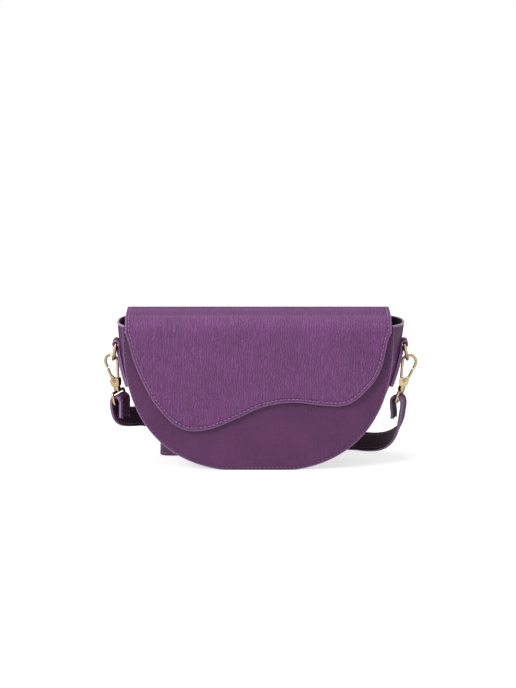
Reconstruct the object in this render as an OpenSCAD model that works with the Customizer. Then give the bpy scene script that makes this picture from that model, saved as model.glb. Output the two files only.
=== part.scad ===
// Saddle handbag: a D-shaped leather bag with a wavy flap, side rings, snap hooks and a strap.
// X runs to the right across the front, Y runs to the back and Z is up.
// The origin is the middle of the base, on the surface that the bag stands on.

/* [Bag body] */
// Width of the front and back panels
bag_w = 236; // [210:1:280]
// Height of the panels at the mouth
bag_h = 127; // [115:1:145]
// Depth over the two panels
bag_d = 60; // [50:1:80]
// Height of the round lower part of the panels
round_h = 125; // [110:1:126]
// How far the round base is pressed flat by the bag's weight
base_press = 1.7; // [1:0.1:3]
// How far the right gusset stands out at the mouth
bulge_right = 11.5; // [7:0.5:15]
// How far the left gusset stands out at the mouth
bulge_left = 7; // [6:0.5:15]

/* [Leather and lining] */
// Thickness of the panel leather
panel_t = 1.6; // [1.2:0.1:2.2]
// Thickness of the gusset leather
gusset_t = 1.2; // [0.9:0.1:1.6]
// Thickness of the stiffening boards in the panels
board_t = 1.0; // [0.6:0.1:1.4]
// Thickness of the lining
lining_t = 0.6; // [0.4:0.1:0.9]
// How far the seam edge stands proud of the gusset
seam_proud = 1.5; // [0.8:0.1:2.5]

/* [Flap] */
// Width of the flap
flap_w = 231; // [205:1:240]
// Height of the flap's top over the mouth of the panels
flap_rise = 9; // [7:0.5:14]
// Outer radius of the flap's front roll
roll_front = 14; // [10:0.5:18]
// Outer radius of the flap's rear roll
roll_back = 6; // [5:0.5:6.5]
// Thickness of the flap leather
flap_t = 1.4; // [1:0.1:1.8]
// Thickness of the flap's board
flap_board_t = 0.8; // [0.6:0.1:1.2]
// Height of the flap's tail sewn to the back panel
tail_h = 30; // [22:1:40]

/* [Magnetic snap] */
// Diameter of the snap's plates
snap_d = 14; // [12:0.5:18]
// Height of the socket
socket_h = 1.8; // [1.5:0.1:2.4]
// Diameter of the socket's hole
socket_hole_d = 6.8; // [6.5:0.1:8]
// Diameter of the stud's nub
nub_d = 4.2; // [3:0.1:4.4]
// Height of the stud's nub
nub_h = 1.2; // [0.8:0.1:1.3]
// Thickness of the stud's plate
stud_t = 0.6; // [0.5:0.1:0.8]
// Thickness of the washers behind the snap
washer_t = 0.6; // [0.4:0.1:0.6]
// Width of a prong
prong_w = 3; // [2:0.1:4]
// Thickness of a prong
prong_t = 0.5; // [0.4:0.1:0.6]

/* [Ring and tab] */
// Width of the leather tab
tab_w = 18; // [15:1:19]
// Thickness of the tab leather
tab_t = 1.3; // [1.1:0.1:1.5]
// Height of the tab's lower end
tab_foot_z = 70; // [62:1:74]
// Height of the ring's bar in the tab
bar_z = 108; // [106:0.5:111]
// Wire diameter of the ring
ring_wire = 2.8; // [2.4:0.1:3]
// Room for the tab between the ring's sides
ring_play = 1.5; // [1:0.1:1.6]
// Height of the ring between its wire's middles
ring_h = 15.2; // [15:0.1:17]
// How far the right ring leans out
ring_lean_right = 11; // [10:1:14]
// How far the left ring leans out
ring_lean_left = 10; // [10:1:14]

/* [Snap hook] */
// Wire diameter of the hook's bow
bow_wire = 2.6; // [2.2:0.1:2.8]
// Radius of the bow's round top, to the middle of its wire
bow_r = 5.9; // [5.8:0.1:6.2]
// Height of the bow's middle over the gate pin
bow_z = 17; // [16:0.5:19]
// Height of the nose over the gate pin
nose_z = 12.2; // [11:0.1:13]
// Width of the hook's base block
block_w = 8.4; // [8:0.1:9.5]
// Thickness of the hook's base block
block_t = 5.8; // [5.6:0.1:7]
// Diameter of the gate pin
pin_d = 2; // [1.6:0.1:2.2]
// How far the right hook leans in
lean_right = 15.5; // [14.5:0.5:17]
// How far the left hook leans in
lean_left = 11.5; // [9:0.5:13]
// How far the left hook is turned about its length
left_turn = 24; // [0:1:30]
// How far the left eye is turned the same way
left_eye_turn = 24; // [0:1:30]
// How far the right eye is turned the other way
right_eye_turn = 14; // [0:1:20]

/* [Swivel eye] */
// Diameter of the swivel's stem
stem_d = 3.1; // [2.6:0.1:3.4]
// Room for the strap between the eye's sides
eye_play = 2; // [1.5:0.1:3]
// Wire diameter of the eye
eye_wire = 2.6; // [2.2:0.1:3]
// Height of the eye between its wire's middles
eye_h = 9.6; // [9:0.1:11]

/* [Strap] */
// Width of the strap
strap_w = 18; // [15:0.5:18.5]
// Thickness of the strap, leather and lining together
strap_t = 2.2; // [1.8:0.1:2.6]

/* [Pocket] */
// Width of the slip pocket
pocket_w = 110; // [80:5:130]
// Height of the slip pocket
pocket_h = 62; // [50:1:68]

/* [Hidden] */
$fn = 48;

// Clearances, shared by the pieces that they keep apart
run_fit = 0.08;
soft_gap = 0.3;
lay_gap = 0.1;
cut_over = 1;

// Outline of the panels
half_w = bag_w / 2;
round_power = 2.5;
round_mid_z = round_h - base_press;
side_steps = 2;
round_steps = 56;
seam_fade_z = bag_h / 5;
bulge_foot_share = 0.1;
bulge_power = 1.4;

// Heights of the layers, counted forward from the bag's middle
panel_in_y = bag_d / 2 - panel_t;
board_in_y = panel_in_y - board_t;
washer_room = washer_t + lay_gap;
lining_in_y = board_in_y - washer_room - lining_t;
board_inset = bag_w / 20;
lining_inset = seam_proud + gusset_t + lining_t + 2 * lay_gap;
board_top_drop = bag_h / 20;
lining_top_drop = bag_h / 100;

// Flap, hinged on the outer rear edge of the tail
hinge_gap = 0.15;
hinge_y = bag_d / 2 + flap_t;
hinge_z = bag_h + hinge_gap;
flap_top_z = bag_h + flap_rise;
flap_lining_t = lining_t;
snap_play = 0.1;
snap_gap = socket_h + stud_t + snap_play;
flap_in_y = bag_d / 2 + snap_gap;
flap_out_y = flap_in_y + flap_lining_t + flap_board_t + flap_t;
flap_board_end_gap = 3.2;
flap_board_end_y = bag_d / 2 + flap_t - roll_back - flap_board_end_gap;
flap_layer_inset = bag_w / 40;
// Points of the flap's edge, from the left roll round the wave to the right roll,
// as shares of half the flap's width and of the height of the panels
flap_edge_share = [[-1, 0.965], [-0.975, 0.9], [-0.957, 0.83], [-0.93, 0.75], [-0.895, 0.67],
    [-0.845, 0.575], [-0.79, 0.485], [-0.725, 0.41], [-0.65, 0.338], [-0.56, 0.291], [-0.47, 0.281],
    [-0.36, 0.296], [-0.24, 0.337], [-0.12, 0.387], [-0.02, 0.43], [0.08, 0.46], [0.2, 0.478],
    [0.32, 0.478], [0.45, 0.464], [0.57, 0.455], [0.65, 0.461], [0.73, 0.493], [0.81, 0.558],
    [0.88, 0.634], [0.928, 0.722], [0.955, 0.82], [0.975, 0.91], [1, 0.965]];
flap_curve_steps = 3;

// Snap, low in the flap's left lobe
snap_x = -flap_w * 0.2;
snap_z = bag_h * 0.44;
prong_x = snap_d * 0.28;
socket_base_t = 0.3;

// Tab and ring
tab_gap = soft_gap;
loop_in_r = ring_wire / 2 + run_fit;
loop_out_r = loop_in_r + tab_t;
tab_steps = 8;
tab_close_drop = ring_wire * 2.2;
ring_half_w = (tab_w + ring_play + ring_wire) / 2;
ring_bend_r = ring_wire * 0.9;

// Hook, in its own frame: the gate pin is at zero and the bow is up
block_top = pin_d * 0.9;
block_foot = -pin_d * 2.7;
block_foot_w = block_w * 0.74;
slot_w = 2.4;
spring_room = 1.1;
gate_t = slot_w - 2 * run_fit;
gate_eye_r = pin_d * 0.85;
spine_x = block_w * 0.35;
leg_r = bow_wire * 0.47;
leg_over = bow_r * 0.05;
nose_gap = 0.75;
hook_gap = 0.35;
pin_head_d = pin_d * 1.5;
pin_head_t = 0.35;
hang_dir = [-0.8, 0.6];
hang_r = bow_r - bow_wire / 2 - ring_wire / 2 - hook_gap;
hang = [0, bow_z] + hang_r * hang_dir;
gate_clear = 0.35;

// Swivel eye, in the hook's frame
stem_head_d = stem_d * 1.4;
stem_head_t = 1;
stem_room_t = stem_head_t + 2 * run_fit;
stem_lip_t = 1.3;
stem_head_top = block_foot + stem_lip_t + stem_room_t;
collar_d = stem_d * 2;
collar_gap = 0.25;
collar_h = 3;
eye_half_w = (strap_w + eye_play + eye_wire) / 2;
eye_top = block_foot - collar_gap - collar_h;
eye_bend_r = eye_wire * 0.85;

// Gate spring, a torsion coil round the pin beside the gate
spring_wire = 0.35;
spring_turns = 1.5;
spring_pitch = 0.42;
spring_r = pin_d / 2 + spring_wire / 2 + run_fit;
spring_steps = 14;

// Strap: its route in millimetres, from the tail at the left eye to the tail at the right eye.
// The fourth number is 0 where the strap's width lies along the eye's bar, and 1 where it stands.
strap_route = [[-117.8, -0.9, 42.3, 0.08], [-117.8, -0.9, 47.3, 0.08], [-117.8, -1, 52.3, 0.08],
    [-117.8, -0.9, 56.3, 0.08], [-118.9, -0.4, 59.5, 0.08], [-121.9, 1, 60.9, 0.08],
    [-124.9, 2.4, 59.5, 0.08], [-126, 2.9, 56.3, 0.08], [-125.9, 3.2, 51.5, 0.08],
    [-125, 4.6, 46.5, 0.12], [-123.3, 7.4, 43, 0.3], [-120.5, 12, 40.3, 0.5], [-116, 20, 38, 0.7],
    [-111, 28, 36.5, 0.85], [-103, 34.5, 35.5, 1], [-94, 38, 33, 1], [-86, 38.6, 29.5, 1],
    [-76, 38.2, 24, 1], [-64, 38.2, 17, 1], [-52, 38.2, 11.5, 1], [-42, 38.2, 9, 1], [10, 38.2, 9, 1],
    [60, 38.2, 9, 1], [62.3, 37.2, 9, 1], [63.3, 34.9, 9, 1], [62.3, 32.6, 9, 1], [60, 31.6, 9, 1],
    [-10, 31.6, 9, 1], [-80, 31.6, 9, 1], [-84.7, 33.5, 9, 1], [-86.6, 38.2, 9, 1], [-84.7, 42.9, 9, 1],
    [-80, 44.8, 9, 1], [-10, 44.8, 9, 1], [60, 44.8, 9, 1], [62.3, 45.8, 9, 1], [63.3, 48.1, 9, 1],
    [62.3, 50.4, 9, 1], [60, 51.4, 9, 1], [-10, 51.4, 9, 1], [-62, 51.4, 9, 1], [-64.3, 52.4, 9, 1],
    [-65.3, 54.7, 9, 1], [-64.3, 57, 9, 1], [-62, 58, 9, 1], [10, 58, 9, 1], [75, 58, 9.1, 0.87],
    [87, 57, 8.9, 0.72], [97, 53, 8.5, 0.64], [105.5, 46, 9.7, 0.6], [113, 36.5, 13, 0.54],
    [119, 26, 18.5, 0.44], [123.2, 15, 25.5, 0.31], [125.4, 6.5, 33.5, 0.16], [126.5, 1.5, 41, 0.02],
    [127.1, -0.4, 46.5, -0.05], [127.8, -1.2, 51.5, -0.07], [127.8, -1.5, 56.3, -0.07],
    [126.6, -1.1, 59.5, -0.07], [123.4, -0.1, 60.9, -0.07], [120.1, 0.9, 59.5, -0.07],
    [119, 1.3, 56.3, -0.07], [119.1, 1.3, 51, -0.07], [119.7, 1.2, 46, -0.07], [119.6, 1.2, 41, -0.07]];
strap_turn_left = 25;
strap_turn_right = 15;
strap_edge_share = 0.45;

// Pocket on the back lining
pocket_foot_z = bag_h * 0.28;
pocket_t = lining_t;

// Signed power, for the round outline
function spow(v, p) = sign(v) * pow(abs(v), p);

// How far the gusset stands out at height z on one side, where side is 1 or -1
function bulge(z, side) = (side > 0 ? bulge_right : bulge_left)
    * pow(max(0, z / bag_h - bulge_foot_share) / (1 - bulge_foot_share), bulge_power);

// Seam edge, which fades to nothing where the base is pressed flat
function seam(z) = seam_proud * min(1, max(0, z) / seam_fade_z);

// Station k on the panels' outline, from the mouth on the right round the base to the left
last_station = 2 * side_steps + round_steps;
function round_angle(k) = 180 * (k - side_steps) / round_steps;
function outline(k) =
    k < side_steps ? [half_w, bag_h - (bag_h - round_mid_z) * k / side_steps] :
    k > side_steps + round_steps ?
        [-half_w, bag_h - (bag_h - round_mid_z) * (last_station - k) / side_steps] :
    [half_w * spow(cos(round_angle(k)), 2 / round_power),
        round_mid_z - round_h * pow(sin(round_angle(k)), 2 / round_power)];
function side_of(k) = k < last_station / 2 ? 1 : -1;
function outward(k) =
    k <= side_steps ? [1, 0] : k >= side_steps + round_steps ? [-1, 0] :
    let (p = outline(k),
        g = [spow(p[0] / half_w, round_power - 1) / half_w,
            spow((p[1] - round_mid_z) / round_h, round_power - 1) / round_h])
    g / norm(g);

// Outline moved out by d along its normal, and kept above a floor
function moved(k, d, floor_z) =
    let (p = outline(k) + d * outward(k)) [p[0], max(floor_z, p[1])];

// Flat outline of a panel, inset by e, with its top lowered and its foot raised
function panel_points(e, drop, lift) = let (top = bag_h - drop) concat(
    [[half_w - e, top]],
    [for (k = [1 : last_station - 1]) if (outline(k)[1] < top - lay_gap) moved(k, -e, lift)],
    [[e - half_w, top]]);

// Plate standing in the XZ plane from y0 to y1
module upright(points, y0, y1) {
    translate([0, y1, 0]) rotate([90, 0, 0]) linear_extrude(height = y1 - y0) polygon(points);
}

// Closed thin shell between an outer and an inner grid of points
module grid_shell(outer, inner) {
    rows = len(outer);
    cols = len(outer[0]);
    half = rows * cols;
    function at(i, j) = i * cols + j;
    polyhedron(
        points = concat([for (row = outer) for (p = row) p], [for (row = inner) for (p = row) p]),
        faces = concat(
            [for (i = [0 : rows - 2]) for (j = [0 : cols - 2])
                [at(i, j), at(i, j + 1), at(i + 1, j + 1)]],
            [for (i = [0 : rows - 2]) for (j = [0 : cols - 2])
                [at(i, j), at(i + 1, j + 1), at(i + 1, j)]],
            [for (i = [0 : rows - 2]) for (j = [0 : cols - 2])
                [half + at(i, j), half + at(i + 1, j + 1), half + at(i, j + 1)]],
            [for (i = [0 : rows - 2]) for (j = [0 : cols - 2])
                [half + at(i, j), half + at(i + 1, j), half + at(i + 1, j + 1)]],
            [for (i = [0 : rows - 2]) [at(i, 0), at(i + 1, 0), half + at(i + 1, 0)]],
            [for (i = [0 : rows - 2]) [at(i, 0), half + at(i + 1, 0), half + at(i, 0)]],
            [for (i = [0 : rows - 2])
                [at(i, cols - 1), half + at(i + 1, cols - 1), at(i + 1, cols - 1)]],
            [for (i = [0 : rows - 2])
                [at(i, cols - 1), half + at(i, cols - 1), half + at(i + 1, cols - 1)]],
            [for (j = [0 : cols - 2]) [at(0, j), half + at(0, j + 1), at(0, j + 1)]],
            [for (j = [0 : cols - 2]) [at(0, j), half + at(0, j), half + at(0, j + 1)]],
            [for (j = [0 : cols - 2])
                [at(rows - 1, j), at(rows - 1, j + 1), half + at(rows - 1, j + 1)]],
            [for (j = [0 : cols - 2])
                [at(rows - 1, j), half + at(rows - 1, j + 1), half + at(rows - 1, j)]]));
}

// Section of the gusset over its depth: y, share of the bulge, share of the seam edge's inset
function gusset_section(y) = [[-y, 0, 0], [-y + gusset_t, 0, 0], [-y + 2 * gusset_t, 0.06, 1],
    [-y * 0.75, 0.4, 1], [-y * 0.5, 0.75, 1], [-y * 0.25, 0.94, 1], [0, 1, 1],
    [y * 0.25, 0.94, 1], [y * 0.5, 0.75, 1], [y * 0.75, 0.4, 1],
    [y - 2 * gusset_t, 0.06, 1], [y - gusset_t, 0, 0], [y, 0, 0]];
function gusset_grid(section, under, floor_z, flat_edge) =
    [for (k = [0 : last_station]) let (z = outline(k)[1]) [for (s = section)
        let (d = s[1] * bulge(z, side_of(k)) - (flat_edge ? 1 : s[2]) * seam(z) - under,
            p = moved(k, d, floor_z)) [p[0], s[0], p[1]]]];

// Smooth curve through hand-chosen points
function spline(a, b, c, d, t) = 0.5 * (2 * b + (c - a) * t
    + (2 * a - 5 * b + 4 * c - d) * t * t + (3 * b - 3 * c + d - a) * t * t * t);
function smooth(p, n) = concat(
    [for (i = [0 : len(p) - 2]) for (j = [0 : n - 1])
        spline(p[max(0, i - 1)], p[i], p[i + 1], p[min(len(p) - 1, i + 2)], j / n)],
    [p[len(p) - 1]]);

// Edge of the flap's front, inset by e along its normals
flap_edge = smooth([for (p = flap_edge_share) [p[0] * flap_w / 2, p[1] * bag_h]],
    flap_curve_steps);
function edge_normal(i) =
    let (t = flap_edge[min(len(flap_edge) - 1, i + 1)] - flap_edge[max(0, i - 1)])
    [-t[1], t[0]] / norm(t);
function flap_inset(e) = [for (i = [0 : len(flap_edge) - 1]) flap_edge[i] + e * edge_normal(i)];

// Quarter of a ring in the YZ plane, in the quadrant of the two signs
module quarter_ring(r, t, sy, sz) {
    intersection() {
        difference() {
            circle(r);
            circle(r - t);
        }
        translate([sy > 0 ? 0 : -r, sz > 0 ? 0 : -r]) square([r, r]);
    }
}

// Bent sheet of the flap: under is its depth below the leather's outside, e is its edge inset
module flap_sheet(under, t, e) {
    w = flap_w - 2 * e;
    out_y = flap_out_y - under;
    top_z = flap_top_z - under;
    back_y = hinge_y - under;
    r_f = roll_front - under;
    r_b = roll_back - under;
    mid_f = roll_front - flap_out_y;
    mid_b = hinge_y - roll_back;
    mid_z = flap_top_z - roll_front;
    low_z = hinge_z + hinge_gap;
    edge = flap_inset(e);
    upright(concat([[-w / 2, mid_z]], [for (p = edge) if (p[1] < mid_z - lay_gap) p],
        [[w / 2, mid_z]]), -out_y, -out_y + t);
    translate([-w / 2, 0, 0]) rotate([90, 0, 90]) linear_extrude(height = w) {
        translate([mid_f, mid_z]) quarter_ring(r_f, t, -1, 1);
        translate([mid_b, flap_top_z - roll_back]) quarter_ring(r_b, t, 1, 1);
        translate([mid_f, top_z - t]) square([mid_b - mid_f, t]);
        translate([back_y - t, low_z]) square([t, flap_top_z - roll_back - low_z]);
    }
}

module front_panel() {
    color([0.40, 0.26, 0.40]) difference() {
        upright(panel_points(0, 0, 0), -bag_d / 2, -panel_in_y);
        prong_slots();
    }
}

module back_panel() {
    color([0.40, 0.26, 0.40]) upright(panel_points(0, 0, 0), panel_in_y, bag_d / 2);
}

module gusset() {
    section = gusset_section(panel_in_y);
    color([0.34, 0.21, 0.35])
        grid_shell(gusset_grid(section, 0, 0, false),
            gusset_grid(section, gusset_t, gusset_t, true));
}

module gusset_lining() {
    section = gusset_section(lining_in_y);
    depth = gusset_t + lay_gap;
    color([0.16, 0.11, 0.16])
        grid_shell(gusset_grid(section, depth, depth, true),
            gusset_grid(section, depth + lining_t, depth + lining_t, true));
}

module front_board() {
    color([0.45, 0.42, 0.38]) difference() {
        upright(panel_points(board_inset, board_top_drop, 0), -panel_in_y, -board_in_y);
        prong_slots();
    }
}

module back_board() {
    color([0.45, 0.42, 0.38])
        upright(panel_points(board_inset, board_top_drop, 0), board_in_y, panel_in_y);
}

module front_lining() {
    color([0.16, 0.11, 0.16]) upright(panel_points(lining_inset, lining_top_drop, lining_inset),
        -lining_in_y - lining_t, -lining_in_y);
}

module back_lining() {
    color([0.16, 0.11, 0.16]) upright(panel_points(lining_inset, lining_top_drop, lining_inset),
        lining_in_y, lining_in_y + lining_t);
}

module slip_pocket() {
    color([0.18, 0.13, 0.18]) translate([-pocket_w / 2, lining_in_y - pocket_t, pocket_foot_z])
        cube([pocket_w, pocket_t, pocket_h]);
}

module flap_tail() {
    color([0.45, 0.30, 0.45]) translate([-flap_w / 2, bag_d / 2, bag_h - tail_h])
        cube([flap_w, flap_t, tail_h]);
}

module flap_leather() {
    color([0.48, 0.33, 0.49]) flap_sheet(0, flap_t, 0);
}

module flap_board() {
    color([0.45, 0.42, 0.38]) difference() {
        flap_sheet(flap_t, flap_board_t, flap_layer_inset);
        translate([snap_x, -flap_in_y, snap_z]) rotate([90, 0, 0])
            cylinder(d = snap_d + 2 * lay_gap, h = flap_out_y - flap_in_y - flap_t);
        translate([-flap_w / 2, flap_board_end_y, bag_h - tail_h])
            cube([flap_w, bag_d, tail_h + flap_rise]);
    }
}

module flap_lining() {
    color([0.16, 0.11, 0.16]) difference() {
        flap_sheet(flap_t + flap_board_t, flap_lining_t, flap_layer_inset / 2);
        prong_slots();
    }
}

// Prongs of one half of the snap, from y0 to y1
module prongs(y0, y1, play) {
    for (s = [-1, 1])
        translate([snap_x + s * prong_x - prong_w / 2 - play, y0,
            snap_z - prong_t / 2 - play])
            cube([prong_w + 2 * play, y1 - y0, prong_t + 2 * play]);
}

module prong_slots() {
    prongs(-flap_out_y + flap_t, -board_in_y + cut_over, lay_gap);
}

module snap_disc(y, d, h) {
    translate([snap_x, y, snap_z]) rotate([90, 0, 0]) cylinder(d = d, h = h);
}

module magnet_socket() {
    color([0.72, 0.66, 0.52]) {
        difference() {
            snap_disc(-bag_d / 2, snap_d, socket_h);
            snap_disc(-bag_d / 2 - socket_base_t, socket_hole_d, socket_h + cut_over);
        }
        prongs(-bag_d / 2 - socket_base_t / 2, -board_in_y + washer_t, 0);
    }
}

module socket_washer() {
    color([0.70, 0.70, 0.68]) difference() {
        snap_disc(-board_in_y + washer_t, snap_d, washer_t);
        prongs(-panel_in_y, -board_in_y + cut_over, lay_gap);
    }
}

module magnet_stud() {
    color([0.72, 0.66, 0.52]) {
        snap_disc(-flap_in_y + stud_t, snap_d, stud_t);
        snap_disc(-flap_in_y + stud_t + nub_h, nub_d, nub_h + stud_t / 2);
        prongs(-flap_in_y - flap_lining_t - washer_t, -flap_in_y + stud_t / 2, 0);
    }
}

module stud_washer() {
    washer_y = -flap_in_y - flap_lining_t - lay_gap;
    color([0.70, 0.70, 0.68]) difference() {
        snap_disc(washer_y, snap_d, washer_t);
        prongs(-flap_out_y + flap_t, -flap_in_y, lay_gap);
    }
}

// Outside of the gusset at mid-depth, at height z
function wall_x(z, side) =
    let (low = max(0, round_mid_z - z),
        x = half_w * pow(1 - pow(low / round_h, round_power), 1 / round_power))
    x + bulge(z, side) - seam_proud;
function bar_x(side) = wall_x(bar_z, side) + tab_gap + tab_t + loop_in_r;

// Tab: two layers against the gusset, and a loop round the ring's bar
module tab(side) {
    close_z = bar_z - tab_close_drop;
    function wall_line(off) = [for (i = [0 : tab_steps])
        let (z = tab_foot_z + (close_z - tab_foot_z) * i / tab_steps)
        [wall_x(z, side) + tab_gap + off, z]];
    function back(points) = [for (i = [len(points) - 1 : -1 : 0]) points[i]];
    cx = bar_x(side);
    mirror([side > 0 ? 0 : 1, 0, 0]) translate([0, tab_w / 2, 0]) rotate([90, 0, 0])
        difference() {
            union() {
                linear_extrude(height = tab_w) polygon(concat(wall_line(0),
                    [[cx - loop_out_r + lay_gap, bar_z], [cx + loop_out_r - lay_gap, bar_z]],
                    back(wall_line(2 * tab_t))));
                translate([cx, bar_z, 0]) cylinder(r = loop_out_r, h = tab_w);
            }
            translate([cx, bar_z, -cut_over]) cylinder(r = loop_in_r, h = tab_w + 2 * cut_over);
            translate([0, 0, -cut_over]) linear_extrude(height = tab_w + 2 * cut_over)
                polygon([[cx - loop_in_r + lay_gap, bar_z], [cx + loop_in_r - lay_gap, bar_z],
                    [wall_x(close_z, side) + tab_gap + tab_t, close_z]]);
        }
}

// Round wire with bent corners: a bar at the top, two sides and a bottom
module corner_wire(r, bend) {
    rotate_extrude(angle = 90, $fn = 40) translate([bend, 0]) circle(r);
}
module d_ring() {
    r = ring_wire / 2;
    rotate([90, 0, 90]) {
        translate([ring_bend_r - ring_half_w, 0, 0]) rotate([0, 90, 0])
            cylinder(r = r, h = 2 * (ring_half_w - ring_bend_r));
        for (s = [0, 1]) mirror([s, 0, 0]) {
            translate([ring_half_w - ring_bend_r, -ring_bend_r, 0])
                corner_wire(r, ring_bend_r);
            translate([ring_half_w, -ring_bend_r, 0]) rotate([90, 0, 0])
                cylinder(r = r, h = ring_h - ring_half_w - ring_bend_r);
        }
        translate([0, ring_half_w - ring_h, 0]) rotate([0, 0, 180])
            rotate_extrude(angle = 180, $fn = 64) translate([ring_half_w, 0]) circle(r);
    }
}

// Places of one side's hardware, with the right side's signs
function ring_lean(side) = side > 0 ? ring_lean_right : ring_lean_left;
module at_bar(side) {
    mirror([side > 0 ? 0 : 1, 0, 0]) translate([bar_x(side), 0, bar_z])
        rotate([0, -ring_lean(side), 0]) children();
}
module at_hook(side) {
    mirror([side > 0 ? 0 : 1, 0, 0])
        translate([bar_x(side) + ring_h * sin(ring_lean(side)), 0,
            bar_z - ring_h * cos(ring_lean(side))])
        rotate([0, side > 0 ? lean_right : lean_left, 0])
        rotate([0, 0, side > 0 ? 0 : left_turn])
        translate([-hang[0], 0, -hang[1]]) children();
}

// The bow's sides run straight from the block to the round top
spine_foot = [spine_x, block_top * 0.8];
foot_to_mid = [0, bow_z] - spine_foot;
side_len = sqrt(pow(norm(foot_to_mid), 2) - pow(bow_r, 2));
side_angle = atan2(foot_to_mid[1], foot_to_mid[0]) - asin(bow_r / norm(foot_to_mid));
side_dir = [cos(side_angle), sin(side_angle)];
arc_start = side_angle - 90;
function side_at(z) = spine_foot + side_dir * ((z - spine_foot[1]) / side_dir[1]);
gate_foot_z = block_top + leg_r + gate_clear;

// Straight wire in the hook's plane, from one point to another
module wire(a, b, r) {
    d = b - a;
    translate([a[0], 0, a[1]]) rotate([0, 90 - atan2(d[1], d[0]), 0]) cylinder(r = r, h = norm(d));
}

module hook_bow() {
    leg_end = spine_foot + side_dir * (side_len + leg_over);
    translate([0, 0, bow_z]) rotate([90, 0, 0]) rotate([0, 0, arc_start])
        rotate_extrude(angle = 180 - 2 * arc_start) translate([bow_r, 0]) circle(d = bow_wire);
    mirror([1, 0, 0]) wire(spine_foot, leg_end, leg_r);
    wire(side_at(nose_z), leg_end, leg_r);
}

module hook_block() {
    difference() {
        rotate([90, 0, 0]) linear_extrude(height = block_t, center = true)
            polygon([[-block_w / 2, block_top], [-block_w / 2, -gate_eye_r],
                [-block_foot_w / 2, block_foot], [block_foot_w / 2, block_foot],
                [block_w / 2, -gate_eye_r], [block_w / 2, block_top]]);
        translate([-gate_eye_r - gate_clear, -slot_w / 2, -gate_eye_r - gate_clear])
            cube([block_w, slot_w, block_top + gate_eye_r + gate_clear + cut_over]);
        translate([0, slot_w / 2 + spring_room, 0]) rotate([90, 0, 0])
            cylinder(r = spring_r + spring_wire, h = spring_room + run_fit);
        rotate([90, 0, 0]) cylinder(d = pin_d + 2 * run_fit / 5, h = block_t + cut_over,
            center = true);
        translate([0, 0, block_foot - cut_over])
            cylinder(d = stem_d + 2 * run_fit, h = stem_head_top - block_foot + cut_over);
        translate([0, 0, stem_head_top - stem_room_t])
            cylinder(d = stem_head_d + 2 * run_fit, h = stem_room_t);
    }
}

module hook(side) {
    at_hook(side) {
        hook_bow();
        hook_block();
    }
}

module gate(side) {
    r = leg_r;
    foot = side_at(gate_foot_z);
    tip = side_at(nose_z - nose_gap);
    at_hook(side) difference() {
        union() {
            wire(foot, tip, r);
            rotate([90, 0, 0]) cylinder(r = gate_eye_r, h = gate_t, center = true);
            rotate([90, 0, 0]) linear_extrude(height = gate_t, center = true)
                polygon([[-gate_eye_r * 0.3, gate_eye_r * 0.9], [gate_eye_r * 0.9, -gate_eye_r * 0.3],
                    foot + [r * 0.9, 0], foot + [r * 0.6, r], foot + [-r * 0.9, r]]);
        }
        rotate([90, 0, 0]) cylinder(d = pin_d + run_fit, h = block_t, center = true);
    }
}

module gate_pin(side) {
    at_hook(side) rotate([90, 0, 0]) {
        cylinder(d = pin_d, h = block_t + 2 * pin_head_t, center = true);
        for (s = [-1, 1]) translate([0, 0, s * (block_t / 2 + pin_head_t / 2 + lay_gap / 5)])
            cylinder(d = pin_head_d, h = pin_head_t, center = true);
    }
}

// Spring: one tube swept round the pin
module gate_spring(side) {
    r = spring_wire / 2;
    sides = 6;
    count = round(spring_turns * spring_steps);
    y0 = slot_w / 2 + (spring_room - spring_turns * spring_pitch) / 2;
    points = [for (i = [0 : count]) for (j = [0 : sides - 1])
        let (a = 360 * i / spring_steps, b = 360 * j / sides, d = spring_r + r * cos(b))
        [d * cos(a), y0 + spring_pitch * i / spring_steps + r * sin(b), d * sin(a)]];
    at_hook(side) polyhedron(points = points, faces = concat(
        [[for (j = [0 : sides - 1]) j]],
        [for (i = [0 : count - 1]) for (j = [0 : sides - 1])
            [i * sides + j, (i + 1) * sides + j, (i + 1) * sides + (j + 1) % sides]],
        [for (i = [0 : count - 1]) for (j = [0 : sides - 1])
            [i * sides + j, (i + 1) * sides + (j + 1) % sides, i * sides + (j + 1) % sides]],
        [[for (j = [sides - 1 : -1 : 0]) count * sides + j]]));
}

module swivel_eye(side) {
    r = eye_wire / 2;
    at_hook(side) {
        translate([0, 0, stem_head_top - stem_head_t - run_fit])
            cylinder(d = stem_head_d, h = stem_head_t);
        translate([0, 0, eye_top])
            cylinder(d = stem_d, h = stem_head_top - run_fit - eye_top);
        translate([0, 0, eye_top - r]) cylinder(d = collar_d, h = collar_h + r);
        translate([0, 0, eye_top - r]) rotate([0, 0, side > 0 ? -right_eye_turn : left_eye_turn - left_turn])
            rotate([90, 0, 90]) for (s = [0, 1]) mirror([s, 0, 0]) {
                for (z = [0, -eye_h]) translate([0, z, 0]) rotate([0, 90, 0])
                    cylinder(r = r, h = eye_half_w - eye_bend_r);
                translate([eye_half_w - eye_bend_r, -eye_bend_r, 0])
                    corner_wire(r, eye_bend_r);
                translate([eye_half_w - eye_bend_r, eye_bend_r - eye_h, 0])
                    rotate([0, 0, -90]) corner_wire(r, eye_bend_r);
                translate([eye_half_w, -eye_bend_r, 0]) rotate([90, 0, 0])
                    cylinder(r = r, h = eye_h - 2 * eye_bend_r);
            }
    }
}

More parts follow.
